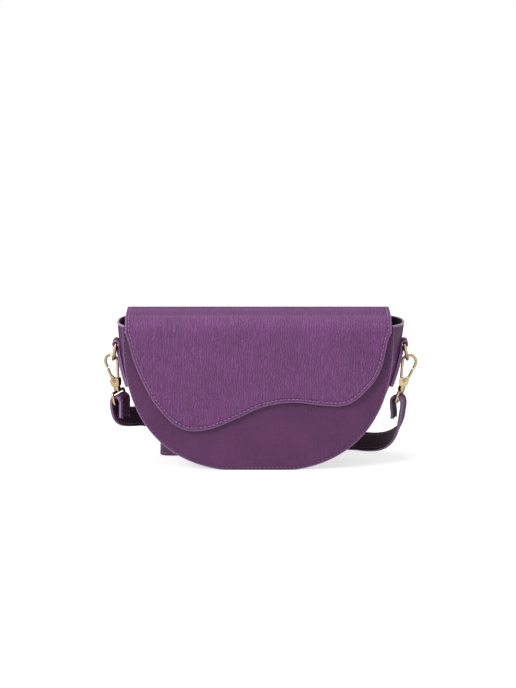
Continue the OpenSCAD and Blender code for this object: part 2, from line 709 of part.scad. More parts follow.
// Direction of the strap's width at ring i of its route, square to the way it runs
function run_dir(i) =
    let (n = len(strap_route) - 1, a = strap_route[max(0, i - 1)], b = strap_route[min(n, i + 1)],
        d = [b[0] - a[0], b[1] - a[1], b[2] - a[2]]) d / norm(d);
function width_dir(i) =
    let (turn = strap_route[i][0] < 0 ? strap_turn_left : strap_turn_right,
        stand = strap_route[i][3], t = run_dir(i),
        w = stand * [0, 0, 1] + (1 - stand) * [sin(turn), cos(turn), 0], s = w - (w * t) * t)
    s / norm(s);

module strap() {
    a = strap_w / 2;
    b = strap_t / 2;
    c = b * strap_edge_share;
    section = [[a, b - c], [a - c, b], [c - a, b], [-a, b - c], [-a, c - b], [c - a, -b],
        [a - c, -b], [a, c - b]];
    sides = len(section);
    last = len(strap_route) - 1;
    points = [for (i = [0 : last]) let (p = strap_route[i], w = width_dir(i), n = cross(run_dir(i), w))
        for (q = section) [p[0], p[1], p[2]] + q[0] * w + q[1] * n];
    color([0.42, 0.30, 0.42]) polyhedron(points = points, faces = concat(
        [[for (j = [sides - 1 : -1 : 0]) j]],
        [for (i = [0 : last - 1]) for (j = [0 : sides - 1])
            [i * sides + j, (i + 1) * sides + (j + 1) % sides, (i + 1) * sides + j]],
        [for (i = [0 : last - 1]) for (j = [0 : sides - 1])
            [i * sides + j, i * sides + (j + 1) % sides, (i + 1) * sides + (j + 1) % sides]],
        [[for (j = [0 : sides - 1]) last * sides + j]]));
}

// The two sides of what comes in pairs
module tab_left() { color([0.42, 0.28, 0.43]) tab(-1); }
module tab_right() { color([0.42, 0.28, 0.43]) tab(1); }
module ring_left() { color([0.78, 0.70, 0.54]) at_bar(-1) d_ring(); }
module ring_right() { color([0.78, 0.70, 0.54]) at_bar(1) d_ring(); }
module hook_left() { color([0.78, 0.70, 0.54]) hook(-1); }
module hook_right() { color([0.78, 0.70, 0.54]) hook(1); }
module gate_left() { color([0.80, 0.73, 0.58]) gate(-1); }
module gate_right() { color([0.80, 0.73, 0.58]) gate(1); }
module gate_pin_left() { color([0.74, 0.66, 0.50]) gate_pin(-1); }
module gate_pin_right() { color([0.74, 0.66, 0.50]) gate_pin(1); }
module gate_spring_left() { color([0.66, 0.66, 0.64]) gate_spring(-1); }
module gate_spring_right() { color([0.66, 0.66, 0.64]) gate_spring(1); }
module swivel_eye_left() { color([0.78, 0.70, 0.54]) swivel_eye(-1); }
module swivel_eye_right() { color([0.78, 0.70, 0.54]) swivel_eye(1); }

front_panel();
back_panel();
gusset();
front_board();
back_board();
front_lining();
back_lining();
gusset_lining();
slip_pocket();
flap_tail();
flap_leather();
flap_board();
flap_lining();
magnet_socket();
socket_washer();
magnet_stud();
stud_washer();
tab_left();
tab_right();
ring_left();
ring_right();
hook_left();
hook_right();
gate_left();
gate_right();
gate_pin_left();
gate_pin_right();
gate_spring_left();
gate_spring_right();
swivel_eye_left();
swivel_eye_right();
strap();
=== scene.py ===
"""Looks of the saddle handbag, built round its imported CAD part. Lengths are in metres."""

import math

import bmesh
import bpy
import numpy as np
from bpy.props import FloatProperty, FloatVectorProperty, IntProperty, PointerProperty
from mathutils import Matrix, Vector


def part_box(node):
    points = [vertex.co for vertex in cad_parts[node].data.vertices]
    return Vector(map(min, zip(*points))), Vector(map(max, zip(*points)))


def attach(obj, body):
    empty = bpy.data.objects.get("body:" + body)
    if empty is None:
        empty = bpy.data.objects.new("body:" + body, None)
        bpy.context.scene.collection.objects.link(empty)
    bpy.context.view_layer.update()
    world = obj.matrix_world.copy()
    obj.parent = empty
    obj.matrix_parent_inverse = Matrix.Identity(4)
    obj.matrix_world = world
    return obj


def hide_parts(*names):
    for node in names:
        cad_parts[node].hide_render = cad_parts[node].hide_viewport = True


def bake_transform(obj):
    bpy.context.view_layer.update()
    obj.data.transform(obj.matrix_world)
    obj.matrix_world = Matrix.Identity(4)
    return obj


bl_info = {
    "name": "Saddle handbag",
    "version": (1, 0, 0),
    "blender": (4, 5, 0),
    "location": "View3D > Sidebar > Handbag",
    "description": "Leather, lining, stitches and metal of a saddle handbag",
    "category": "Object",
}

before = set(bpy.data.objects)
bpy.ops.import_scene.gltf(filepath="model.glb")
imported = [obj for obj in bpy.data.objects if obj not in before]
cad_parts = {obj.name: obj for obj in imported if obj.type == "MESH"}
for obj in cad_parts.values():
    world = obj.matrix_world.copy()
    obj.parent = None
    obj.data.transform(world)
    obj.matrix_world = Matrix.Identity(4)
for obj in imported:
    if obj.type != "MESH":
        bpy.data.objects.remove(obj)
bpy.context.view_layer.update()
MM = 0.001


def corner(piece, high):
    """Lowest or highest corner of a CAD node."""
    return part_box(piece)[1 if high else 0]


# Places that the looks share with the CAD part
PANEL_FACE_Y = corner("front_panel", False).y
PANEL_BACK_Y = corner("back_panel", True).y
PANEL_IN_Y = -corner("front_panel", True).y
HALF_W = corner("front_panel", True).x
MOUTH_Z = corner("front_panel", True).z
FLAP_HALF_W = corner("flap_leather", True).x
FLAP_FRONT_Y = corner("flap_leather", False).y
FLAP_TOP_Z = corner("flap_leather", True).z
TAIL_OUT_Y = corner("flap_tail", True).y
TAIL_LOW_Z = corner("flap_tail", False).z
LINING_IN_Y = -corner("front_lining", True).y
ROUND_H = 0.125
ROUND_MID_Z = 0.1233
ROUND_POWER = 2.5
SEAM_PROUD = 0.0015
GUSSET_T = 0.0012
PANEL_T = 0.0016
FLAP_T = 0.0014
BOARD_T = 0.0008
LINING_T = 0.0006
ROLL_FRONT = 0.014
ROLL_BACK = 0.006
RING_WIRE = 0.0028
TAB_T = 0.0015
# For the right side, 1, and the left, -1: the gusset's bulge, and the ring's bar in x and z
BULGE = {1: 0.0115, -1: 0.007}
BAR = {1: (0.128248, 0.108), -1: (-0.124759, 0.108)}
# The strap's outsides and the plane between its leather and lining, from its centre line
STRAP_OUT = 0.0011
STRAP_SPLIT = 0.0002
# Distance between the points of a seam's line, and of one that bends more
SEAM_STEP = 0.001
FINE_STEP = 0.0008
# Place on the Edge map of a surface that has no edge near it
FAR_IN = 0.05
# Rows of the flap's mesh: on its foot, over the hinge, on to the top, and down the front
FLAP_ROWS = (12, 16, 18, 74)
# Lengths along the flap's outside, from its foot, at which a roll starts or ends
FLAP_MARKS = np.cumsum([
    FLAP_TOP_Z - ROLL_BACK - TAIL_LOW_Z, ROLL_BACK * math.pi / 2,
    (TAIL_OUT_Y - ROLL_BACK) - (FLAP_FRONT_Y + ROLL_FRONT), ROLL_FRONT * math.pi / 2])
# The flap's lower edge from left to right, in shares of its half width and the mouth's height
FLAP_EDGE = [
    (-1, 0.965), (-0.975, 0.9), (-0.957, 0.83), (-0.93, 0.75), (-0.895, 0.67), (-0.845, 0.575),
    (-0.79, 0.485), (-0.725, 0.41), (-0.65, 0.338), (-0.56, 0.291), (-0.47, 0.281), (-0.36, 0.296),
    (-0.24, 0.337), (-0.12, 0.387), (-0.02, 0.43), (0.08, 0.46), (0.2, 0.478), (0.32, 0.478),
    (0.45, 0.464), (0.57, 0.455), (0.65, 0.461), (0.73, 0.493), (0.81, 0.558), (0.88, 0.634),
    (0.928, 0.722), (0.955, 0.82), (0.975, 0.91), (1, 0.965),
]
# The strap's route as the CAD part has it, in millimetres, and how upright its width stands
STRAP_ROUTE = [
    (-117.8, -0.9, 42.3, 0.08), (-117.8, -0.9, 47.3, 0.08), (-117.8, -1, 52.3, 0.08),
    (-117.8, -0.9, 56.3, 0.08), (-118.9, -0.4, 59.5, 0.08), (-121.9, 1, 60.9, 0.08),
    (-124.9, 2.4, 59.5, 0.08), (-126, 2.9, 56.3, 0.08), (-125.9, 3.2, 51.5, 0.08),
    (-125, 4.6, 46.5, 0.12), (-123.3, 7.4, 43, 0.3), (-120.5, 12, 40.3, 0.5), (-116, 20, 38, 0.7),
    (-111, 28, 36.5, 0.85), (-103, 34.5, 35.5, 1), (-94, 38, 33, 1), (-86, 38.6, 29.5, 1),
    (-76, 38.2, 24, 1), (-64, 38.2, 17, 1), (-52, 38.2, 11.5, 1), (-42, 38.2, 9, 1),
    (10, 38.2, 9, 1), (60, 38.2, 9, 1), (62.3, 37.2, 9, 1), (63.3, 34.9, 9, 1), (62.3, 32.6, 9, 1),
    (60, 31.6, 9, 1), (-10, 31.6, 9, 1), (-80, 31.6, 9, 1), (-84.7, 33.5, 9, 1),
    (-86.6, 38.2, 9, 1), (-84.7, 42.9, 9, 1), (-80, 44.8, 9, 1), (-10, 44.8, 9, 1),
    (60, 44.8, 9, 1), (62.3, 45.8, 9, 1), (63.3, 48.1, 9, 1), (62.3, 50.4, 9, 1), (60, 51.4, 9, 1),
    (-10, 51.4, 9, 1), (-62, 51.4, 9, 1), (-64.3, 52.4, 9, 1), (-65.3, 54.7, 9, 1),
    (-64.3, 57, 9, 1), (-62, 58, 9, 1), (10, 58, 9, 1), (75, 58, 9.1, 0.87), (87, 57, 8.9, 0.72),
    (97, 53, 8.5, 0.64), (105.5, 46, 9.7, 0.6), (113, 36.5, 13, 0.54), (119, 26, 18.5, 0.44),
    (123.2, 15, 25.5, 0.31), (125.4, 6.5, 33.5, 0.16), (126.5, 1.5, 41, 0.02),
    (127.1, -0.4, 46.5, -0.05), (127.8, -1.2, 51.5, -0.07), (127.8, -1.5, 56.3, -0.07),
    (126.6, -1.1, 59.5, -0.07), (123.4, -0.1, 60.9, -0.07), (120.1, 0.9, 59.5, -0.07),
    (119, 1.3, 56.3, -0.07), (119.1, 1.3, 51, -0.07), (119.7, 1.2, 46, -0.07),
    (119.6, 1.2, 41, -0.07),
]
# Degrees by which the strap's width is turned off the bag's depth, on each side
STRAP_TURN = {1: 15.0, -1: 25.0}
# In millimetres: a gap in the route over STRAIGHT_RUN is straight, with steps of STRAIGHT_STEP
STRAIGHT_RUN = 30
STRAIGHT_STEP = 6


def length_prop(name, about, default, low, high):
    """A size in metres that the user may change."""
    return FloatProperty(name=name, description=about, default=default, min=low, max=high,
                         unit="LENGTH")


def colour_prop(name, about, default):
    """A colour that the user may change."""
    return FloatVectorProperty(name=name, description=about, subtype="COLOR", size=3, min=0,
                               max=1, default=default)


class BagSizes(bpy.types.PropertyGroup):
    """Sizes of what is sewn and painted on the leather."""

    pitch: length_prop("Stitch pitch", "Length of one stitch and its gap", 0.0037, 0.002, 0.008)
    thread: length_prop("Thread", "Thickness of the sewing thread", 0.0007, 0.0003, 0.0015)
    inset: length_prop("Stitch inset", "Distance of the seam from the edge", 0.0028, 0.0015,
                       0.006)
    panel_inset: length_prop("Panel stitch inset", "Distance of the body's seams from the edge",
                             0.0020, 0.0015, 0.004)
    edge_bead: length_prop("Edge paint", "How far the painted edge is crowned", 0.0004, 0.0001,
                           0.001)
    sag: length_prop("Sag", "How far the soft leather wanders from flat", 0.0004, 0.0, 0.001)
    strap_width: length_prop("Strap width", "Width of the shoulder strap", 0.018, 0.015, 0.0185)
    columns: IntProperty(name="Flap columns", description="Mesh columns between edge points",
                         default=8, min=3, max=12)


class BagColours(bpy.types.PropertyGroup):
    """Colours of the leather, thread, lining and metal."""

    flap: colour_prop("Flap", "Leather of the flap", (0.184, 0.048, 0.190))
    panel: colour_prop("Panels", "Leather of the panels", (0.106, 0.027, 0.103))
    gusset: colour_prop("Gusset", "Leather of the gusset", (0.100, 0.027, 0.098))
    strap: colour_prop("Strap", "Leather of the strap", (0.126, 0.050, 0.122))
    edge: colour_prop("Edge paint", "Paint on the cut edges", (0.320, 0.160, 0.330))
    thread: colour_prop("Thread", "Sewing thread", (0.350, 0.200, 0.370))
    lining: colour_prop("Lining", "Microfibre lining", (0.016, 0.008, 0.015))
    metal: colour_prop("Metal", "Pale gold plate", (0.53, 0.395, 0.225))


# Materials

def node(tree, kind, feeds=(), **settings):
    """Adds a node with its settings, and feeds its inputs with sockets or plain values."""
    made = tree.nodes.new(kind)
    for key, value in settings.items():
        setattr(made, key, value)
    for key, value in dict(feeds).items():
        if isinstance(value, bpy.types.NodeSocket):
            tree.links.new(value, made.inputs[key])
        else:
            made.inputs[key].default_value = value
    return made


def calc(tree, operation, *values):
    """Value of a Math node fed by sockets or numbers."""
    return node(tree, "ShaderNodeMath", enumerate(values), operation=operation).outputs[0]


def ease(tree, value, low, high, out_low=0.0, out_high=1.0):
    """Smooth step of a value between two limits."""
    return node(tree, "ShaderNodeMapRange", {
        "Value": value, "From Min": low, "From Max": high, "To Min": out_low,
        "To Max": out_high}, interpolation_type="SMOOTHSTEP").outputs["Result"]


def ramp_of(tree, value, low_place, low_colour, high_place, high_colour):
    """Colour of a two-stop ramp."""
    ramp = node(tree, "ShaderNodeValToRGB", {"Fac": value})
    for stop, place, colour in zip(ramp.color_ramp.elements, (low_place, high_place),
                                   (low_colour, high_colour)):
        stop.position = place
        stop.color = (*[min(1.0, c) for c in colour], 1)
    return ramp.outputs["Color"]


def mixed(tree, factor, first, colour):
    """Colour between a socket's and a plain one."""
    return node(tree, "ShaderNodeMix", {"Factor": factor, "A": first, "B": (*colour, 1)},
                data_type="RGBA").outputs["Result"]


def noise_of(tree, where, scale, detail=3.0):
    """Noise texture with the given scale."""
    return node(tree, "ShaderNodeTexNoise", {"Vector": where, "Scale": scale, "Detail": detail})


def grit_of(tree, scale):
    """Fine noise on Object coordinates."""
    return noise_of(tree, node(tree, "ShaderNodeTexCoord").outputs["Object"],
                    scale).outputs["Fac"]


def tree_of(name):
    """A fresh node material and its tree."""
    material = bpy.data.materials.new(name)
    material.use_nodes = True
    material.node_tree.nodes.clear()
    return material, material.node_tree


def finished(material, tree, colour, rough, height, strength, distance, **feeds):
    """Ends a material with a bump and a Principled shader; feeds has its other inputs."""
    bump = node(tree, "ShaderNodeBump", {"Strength": strength, "Distance": distance,
                                         "Height": height})
    shader = node(tree, "ShaderNodeBsdfPrincipled", {
        "Base Color": colour, "Roughness": rough, "Normal": bump.outputs[0],
        **{key.replace("_", " "): value for key, value in feeds.items()}})
    node(tree, "ShaderNodeOutputMaterial", {"Surface": shader.outputs[0]})
    return shader, material


def group_of(name, kind, inputs, fill):
    """The named node group; inputs has defaults or kinds, and fill makes its nodes."""
    if name in bpy.data.node_groups:
        return bpy.data.node_groups[name]
    tree = bpy.data.node_groups.new(name, kind)
    for title, value in inputs.items():
        form = value if isinstance(value, str) else "Float"
        socket = tree.interface.new_socket(title, in_out="INPUT", socket_type="NodeSocket" + form)
        if form != value:
            socket.default_value = value
    results = fill(tree, tree.nodes.new("NodeGroupInput").outputs)
    for title, socket in results.items():
        form = "Geometry" if socket.type == "GEOMETRY" else "Float"
        tree.interface.new_socket(title, in_out="OUTPUT", socket_type="NodeSocket" + form)
    node(tree, "NodeGroupOutput", results)
    return tree


def grain_nodes(tree, given):
    """Pebbles with creases between them, veins and long wrinkles along V."""
    where = given["Vector"]
    warp = noise_of(tree, where, 130.0, 2.0)
    shift = node(tree, "ShaderNodeVectorMath", {
        0: warp.outputs["Color"], 1: (0.0045, 0.0045, 0.0), 2: where}, operation="MULTIPLY_ADD")
    squeeze = node(tree, "ShaderNodeCombineXYZ", {"X": 1.0, "Y": given["Stretch"], "Z": 1.0})
    along = node(tree, "ShaderNodeVectorMath", {0: shift.outputs[0], 1: squeeze.outputs[0]},
                 operation="MULTIPLY").outputs[0]
    cells = node(tree, "ShaderNodeTexVoronoi", {
        "Vector": along, "Scale": given["Pebbles"], "Randomness": 0.95},
        feature="DISTANCE_TO_EDGE")
    pebble = ease(tree, cells.outputs["Distance"], 0.0, 0.22)
    wave = noise_of(tree, along, calc(tree, "MULTIPLY", given["Pebbles"], 0.40))
    wave.inputs["Roughness"].default_value = 0.55
    vein = ease(tree, calc(tree, "ABSOLUTE", calc(tree, "SUBTRACT", wave.outputs["Fac"], 0.5)),
                0.0, 0.06)
    tall = node(tree, "ShaderNodeVectorMath", {0: where, 1: (1.0, 0.5, 1.0)},
                operation="MULTIPLY")
    folds = node(tree, "ShaderNodeTexWave", {
        "Vector": tall.outputs[0], "Scale": 148.0, "Distortion": 8.5, "Detail": 2.0,
        "Detail Scale": 1.2})
    blend = calc(tree, "MULTIPLY", given["Wrinkle"], 0.7)
    vein = calc(tree, "ADD",
                calc(tree, "MULTIPLY", ease(tree, folds.outputs["Fac"], 0.05, 0.6), blend),
                calc(tree, "MULTIPLY", vein, calc(tree, "SUBTRACT", 1.0, blend)))
    height = calc(tree, "ADD", calc(tree, "MULTIPLY", pebble, given["Crease"]),
                  calc(tree, "MULTIPLY", vein, given["Wrinkle"]))
    fine = noise_of(tree, where, 2600.0, 2.0).outputs["Fac"]
    tint = calc(tree, "MULTIPLY_ADD", vein, 0.55, calc(tree, "MULTIPLY", pebble, 0.45))
    return {"Height": calc(tree, "ADD", height, calc(tree, "MULTIPLY", fine, 0.10)),
            "Tint": tint, "Cloud": noise_of(tree, where, 28.0).outputs["Fac"]}


def seam_nodes(tree, given):
    """Groove that the seam presses into the leather, its holes, and paint by the cut edge."""
    split = node(tree, "ShaderNodeSeparateXYZ", {0: given["Edge"]}).outputs
    away = calc(tree, "ABSOLUTE", calc(tree, "SUBTRACT", split["Y"], given["Inset"]))
    turn = calc(tree, "FRACT", calc(tree, "DIVIDE", split["X"], given["Pitch"]))
    beat = calc(tree, "ABSOLUTE", calc(tree, "SUBTRACT", turn, 0.5))
    hole = calc(tree, "MULTIPLY", ease(tree, beat, 0.06, 0.18, 1.0, 0.0),
                ease(tree, away, 0.0003, 0.0006, 1.0, 0.0))
    return {"Depth": ease(tree, away, 0.0002, 0.0013, 1.0, 0.0), "Hole": hole,
            "Rim": ease(tree, split["Y"], 0.0004, 0.0011, 1.0, 0.0)}


def leather(name, colour, pebbles, stretch, wrinkle, crease, depth, rough, contrast, inset,
            shine=0.3):
    """Grained leather on a piece's own Sheet and Edge maps."""
    scene = bpy.context.scene
    material, tree = tree_of(name)
    sheet, edge = [node(tree, "ShaderNodeUVMap", uv_map=title).outputs[0]
                   for title in ("Sheet", "Edge")]
    grain = node(tree, "ShaderNodeGroup", {
        "Vector": sheet, "Pebbles": pebbles, "Stretch": stretch, "Wrinkle": wrinkle,
        "Crease": crease}, node_tree=group_of(
            "Leather grain", "ShaderNodeTree",
            {"Vector": "Vector", "Pebbles": 620.0, "Stretch": 0.35, "Wrinkle": 0.6,
             "Crease": 0.5}, grain_nodes)).outputs
    seam = node(tree, "ShaderNodeGroup", {
        "Edge": edge, "Inset": inset, "Pitch": scene.bag_sizes.pitch}, node_tree=group_of(
            "Seam groove", "ShaderNodeTree",
            {"Inset": 0.0028, "Pitch": 0.0037, "Edge": "Vector"}, seam_nodes)).outputs
    shade = calc(tree, "MULTIPLY_ADD", grain["Tint"], contrast,
                 calc(tree, "MULTIPLY", grain["Cloud"], 0.45))
    tone = ramp_of(tree, shade, 0.1, [c * 0.58 for c in colour], min(1.0, 0.4 + contrast),
                   [c * 1.25 + 0.004 for c in colour])
    # painted shade: the seam's holes are darkened to a quarter of the leather's colour
    tone = mixed(tree, calc(tree, "MULTIPLY", seam["Hole"], 0.85), tone,
                 [c * 0.25 for c in colour])
    tone = mixed(tree, calc(tree, "MULTIPLY", seam["Rim"], 0.75), tone, scene.bag_colours.edge)
    height = calc(tree, "SUBTRACT", calc(
        tree, "SUBTRACT", grain["Height"], calc(tree, "MULTIPLY", seam["Depth"], 0.9)),
        seam["Hole"])
    facing = node(tree, "ShaderNodeLayerWeight", {"Blend": 0.5}).outputs["Facing"]
    shader, material = finished(
        material, tree, tone, calc(tree, "MULTIPLY_ADD", grain["Tint"], -0.12, rough), height,
        1.0, depth, Specular_IOR_Level=shine * 0.5)
    tree.links.new(ease(tree, facing, 0.35, 0.84, shine, 0.008),
                   shader.inputs["Specular IOR Level"])
    return material


def plain(name, colour, rough, scale, spread, depth=0.00008, **feeds):
    """Finish with a fine noise in colour, roughness and bump, on Object coordinates."""
    material, tree = tree_of(name)
    grit = grit_of(tree, scale)
    tone = ramp_of(tree, grit, 0.3, [c * (1 - spread) for c in colour], 0.7,
                   [c * (1 + spread) for c in colour])
    return finished(material, tree, tone, calc(tree, "MULTIPLY_ADD", grit, 0.12, rough - 0.06),
                    grit, 0.6, depth, **feeds)[1]


def plate(name, colour):
    """Polished plate with a painted dark reflection: its colour darkens where it turns away from
    the view, with faint brushing.
    """
    material, tree = tree_of(name)
    grit = grit_of(tree, 420.0)
    facing = node(tree, "ShaderNodeLayerWeight", {"Blend": 0.45}).outputs["Facing"]
    # painted dark reflection: the base colour falls towards brown where the surface turns away
    tone = ramp_of(tree, facing, 0.03, colour, 0.5,
                   [c * k for c, k in zip(colour, (0.20, 0.14, 0.09))])
    return finished(material, tree, tone, calc(tree, "MULTIPLY_ADD", grit, 0.1, 0.12), grit, 0.4,
                    0.00001, Metallic=1.0)[1]


def finish_of(name):
    """The named material, made when it is first asked for."""
    if name in bpy.data.materials:
        return bpy.data.materials[name]
    c, sizes = bpy.context.scene.bag_colours, bpy.context.scene.bag_sizes
    # Colour, pebbles, stretch, wrinkle, crease, depth, roughness, contrast, inset, shine
    leathers = {
        "Flap leather": (c.flap, 800, 0.40, 1.0, 0.25, 0.00078, 0.44, 0.45, sizes.inset, 0.38),
        "Panel leather": (c.panel, 720, 0.62, 0.6, 0.3, 0.0002, 0.55, 0.25, sizes.panel_inset),
        "Gusset leather": (c.gusset, 700, 0.62, 0.5, 0.5, 0.00026, 0.55, 0.4,
                           sizes.panel_inset),
        "Strap leather": (c.strap, 820, 0.6, 0.45, 0.4, 0.00020, 0.5, 0.35, sizes.inset),
    }
    # Colour, roughness, scale of the noise, spread of its shades, and then what else differs
    plains = {
        "Thread": (c.thread, 0.6, 2500, 0.15, {"Sheen_Weight": 0.2}),
        "Dark thread": ([k * 0.42 for k in c.thread], 0.6, 2500, 0.15, {"Sheen_Weight": 0.1}),
        "Edge paint": (c.edge, 0.36, 700, 0.1, {"Coat_Weight": 0.1}),
        "Lining": (c.lining, 0.8, 1800, 0.25, {"Sheen_Weight": 0.06, "Specular_IOR_Level": 0.12}),
        "Strap lining": ([k * 2.4 for k in c.lining], 0.7, 1800, 0.25,
                         {"Specular_IOR_Level": 0.2}),
        "Fibre board": ((0.33, 0.27, 0.21), 0.85, 1500, 0.2, {"depth": 0.0001}),
        "Spring steel": ((0.60, 0.60, 0.58), 0.3, 3000, 0.06, {"Metallic": 1.0, "depth": 0.00001}),
    }
    if name in leathers:
        return leather(name, *leathers[name])
    if name in plains:
        *values, others = plains[name]
        return plain(name, *values, **others)
    shades = {"Pale gold": 1.0, "Rivet gold": 0.55}
    return plate(name, [k * shades[name] for k in c.metal])


# Shapes

def unit(vectors):
    """The vectors at length one."""
    return vectors / np.maximum(np.linalg.norm(vectors, axis=-1, keepdims=True), 1e-12)


def stacked(*parts):
    """The parts spread to one shape, as the last axis of one array."""
    return np.stack(np.broadcast_arrays(*parts), -1)


def soft_step(value):
    """Smooth step from 0 to 1."""
    value = np.clip(value, 0, 1)
    return value * value * (3 - 2 * value)


def curve_through(points, steps):
    """Smooth curve through the points, with equal steps between each two."""
    p = np.array(points, float)
    t = np.arange(steps)[:, None] / steps
    out = []
    for i in range(len(p) - 1):
        a, b, c, d = p[max(0, i - 1)], p[i], p[i + 1], p[min(len(p) - 1, i + 2)]
        out.append(0.5 * (2 * b + (c - a) * t + (2 * a - 5 * b + 4 * c - d) * t * t
                          + (3 * b - 3 * c + d - a) * t ** 3))
    return np.vstack(out + [p[-1:]])


def run_length(line):
    """Distance along a line at each of its points."""
    return np.concatenate([[0], np.cumsum(np.linalg.norm(np.diff(line, axis=0), axis=1))])


def resampled(line, step):
    """The line again, with its points a step apart."""
    line = np.array(line, float)
    length = run_length(line)
    want = np.linspace(0, length[-1], max(2, int(round(length[-1] / step)) + 1))
    return np.stack([np.interp(want, length, axis) for axis in line.T], axis=1)


def wander(x, y, scale, seed):
    """Slow smooth ripple round nought, the same in each run."""
    rng = np.random.default_rng(seed)
    total = np.zeros(np.broadcast(x, y).shape)
    for octave in range(5):
        angle, phase = rng.uniform(0, math.pi), rng.uniform(0, 2 * math.pi)
        f = 2 * math.pi * (1 + 0.7 * octave) / scale
        total = total + np.sin(f * (x * math.cos(angle) + y * math.sin(angle)) + phase) / (
            1 + 0.7 * octave)
    return total / 2.6


def near_line(x, z, line):
    """For each point its distance from a line, and the place along it."""
    points = stacked(x, z).reshape(-1, 2)
    start, run = line[:-1], np.diff(line, axis=0)
    along = run_length(line)
    square = np.maximum((run ** 2).sum(1), 1e-18)
    best, place = np.full(len(points), 1e9), np.zeros(len(points))
    for i in range(len(run)):
        t = np.clip(((points - start[i]) @ run[i]) / square[i], 0, 1)
        gap = np.linalg.norm(points - start[i] - t[:, None] * run[i], axis=1)
        hit = gap < best
        best[hit], place[hit] = gap[hit], (along[i] + t * math.sqrt(square[i]))[hit]
    return best.reshape(x.shape), place.reshape(x.shape)


def placed(name, data):
    """A new object in the scene."""
    made = bpy.data.objects.new(name, data)
    bpy.context.scene.collection.objects.link(made)
    return made


def object_from(name, verts, faces, materials, index=None, sheet=None, edge=None):
    """Smooth mesh object with its maps, its faces turned outwards."""
    mesh = bpy.data.meshes.new(name)
    mesh.from_pydata([tuple(v) for v in verts], [], faces)
    for material in materials:
        mesh.materials.append(finish_of(material))
    if index is not None:
        mesh.polygons.foreach_set("material_index", np.array(index, np.int32))
    loops = np.zeros(len(mesh.loops), np.int32)
    mesh.loops.foreach_get("vertex_index", loops)
    if sheet is None:
        sheet, edge = verts[:, [0, 2]], np.full((len(verts), 2), FAR_IN)
    for title, flat in (("Sheet", sheet), ("Edge", edge)):
        layer = mesh.uv_layers.new(name=title)
        layer.data.foreach_set("uv", np.asarray(flat, np.float32)[loops].ravel())
    mesh.polygons.foreach_set("use_smooth", np.full(len(mesh.polygons), True))
    work = bmesh.new()
    work.from_mesh(mesh)
    bmesh.ops.recalc_face_normals(work, faces=work.faces)
    work.to_mesh(mesh)
    work.free()
    return placed(name, mesh)


def sheet_piece(name, outer, inner, crown, materials, sheet, edge):
    """Closed sheet between two grids, with a crowned cut edge: outside, inside, edge paint."""
    rows, cols = outer.shape[:2]
    count = rows * cols
    at = np.arange(count).reshape(rows, cols)
    near, right, across, down = at[:-1, :-1], at[:-1, 1:], at[1:, 1:], at[1:, :-1]
    faces = stacked(near, right, across, down, count + near, count + down, count + across,
                    count + right).reshape(-1, 4)
    i, j = np.array([(0, j) for j in range(cols)] + [(i, cols - 1) for i in range(1, rows)]
                    + [(rows - 1, j) for j in range(cols - 2, -1, -1)]
                    + [(i, 0) for i in range(rows - 2, 0, -1)]).T
    through = unit(outer[i, j] - inner[i, j])
    away = outer[i, j] - outer[np.clip(i, 1, rows - 2), np.clip(j, 1, cols - 2)]
    away = unit(away - through * (away * through).sum(1)[:, None])
    rim = (outer[i, j] + inner[i, j]) / 2 + away * crown
    here, middle = at[i, j], 2 * count + np.arange(len(i))
    there, after = np.roll(here, -1), np.roll(middle, -1)
    sides = stacked(here, middle, after, there, middle, count + here, count + there,
                    after).reshape(-1, 4)
    index = [0, 1] * (len(faces) // 2) + [2] * len(sides)
    flat, marks = sheet.reshape(-1, 2), edge.reshape(-1, 2)
    return object_from(
        name, np.vstack([outer.reshape(-1, 3), inner.reshape(-1, 3), rim]),
        np.vstack([faces, sides]).tolist(), materials, index,
        np.vstack([flat, flat, sheet[i, j]]), np.vstack([marks, marks, edge[i, j]]))


def swept_faces(count, sides):
    """Faces of a section swept along a line, with its two closed ends last."""
    faces = []
    for i in range(count - 1):
        here, there = i * sides, (i + 1) * sides
        for j in range(sides):
            k = (j + 1) % sides
            faces.append((here + j, here + k, there + k, there + j))
    return faces + [tuple(range(sides)), tuple((count - 1) * sides + j for j in range(sides))]


def beads(name, lines, radius, sides=10):
    """Round beads of edge paint along the lines, as one mesh."""
    angle = 2 * math.pi * np.arange(sides)[None, :, None] / sides
    verts, faces = [], []
    for line in lines:
        t = unit(np.gradient(line, axis=0))
        a = np.array([0.0, 0.0, 1.0])
        a = unit(a - t * (t @ a)[:, None])
        ring = (a[:, None] * np.cos(angle) + np.cross(t, a)[:, None] * np.sin(angle)) * radius
        faces += [tuple(len(verts) + k for k in face) for face in swept_faces(len(line), sides)]
        verts += (line[:, None] + ring).reshape(-1, 3).tolist()
    return object_from(name, np.array(verts), faces, ["Edge paint"])


def stitch_nodes(tree, given):
    """Stitches of thread laid end to end along each line of a mesh."""
    ball = node(tree, "GeometryNodeMeshUVSphere", {"Segments": 6, "Rings": 5, "Radius": 0.5})
    size = node(tree, "ShaderNodeCombineXYZ", {
        "X": given["Thread"], "Y": given["Thread"], "Z": given["Length"]})
    stitch = node(tree, "GeometryNodeTransform", {
        "Geometry": ball.outputs["Mesh"], "Scale": size.outputs[0]})
    turn = node(tree, "FunctionNodeAlignRotationToVector", {
        "Vector": node(tree, "GeometryNodeInputTangent").outputs[0]}, axis="Z")
    run = given["Geometry"]
    for kind, feeds, settings in (
            ("MeshToCurve", {}, {}),
            ("ResampleCurve", {"Length": given["Pitch"]}, {"mode": "LENGTH"}),
            ("InstanceOnPoints", {"Instance": stitch.outputs["Geometry"],
                                  "Rotation": turn.outputs[0]}, {}),
            ("RealizeInstances", {}, {}),
            ("SetShadeSmooth", {}, {}),
            ("SetMaterial", {"Material": given["Material"]}, {})):
        run = node(tree, "GeometryNode" + kind, {0: run, **feeds}, **settings).outputs[0]
    return {"Geometry": run}


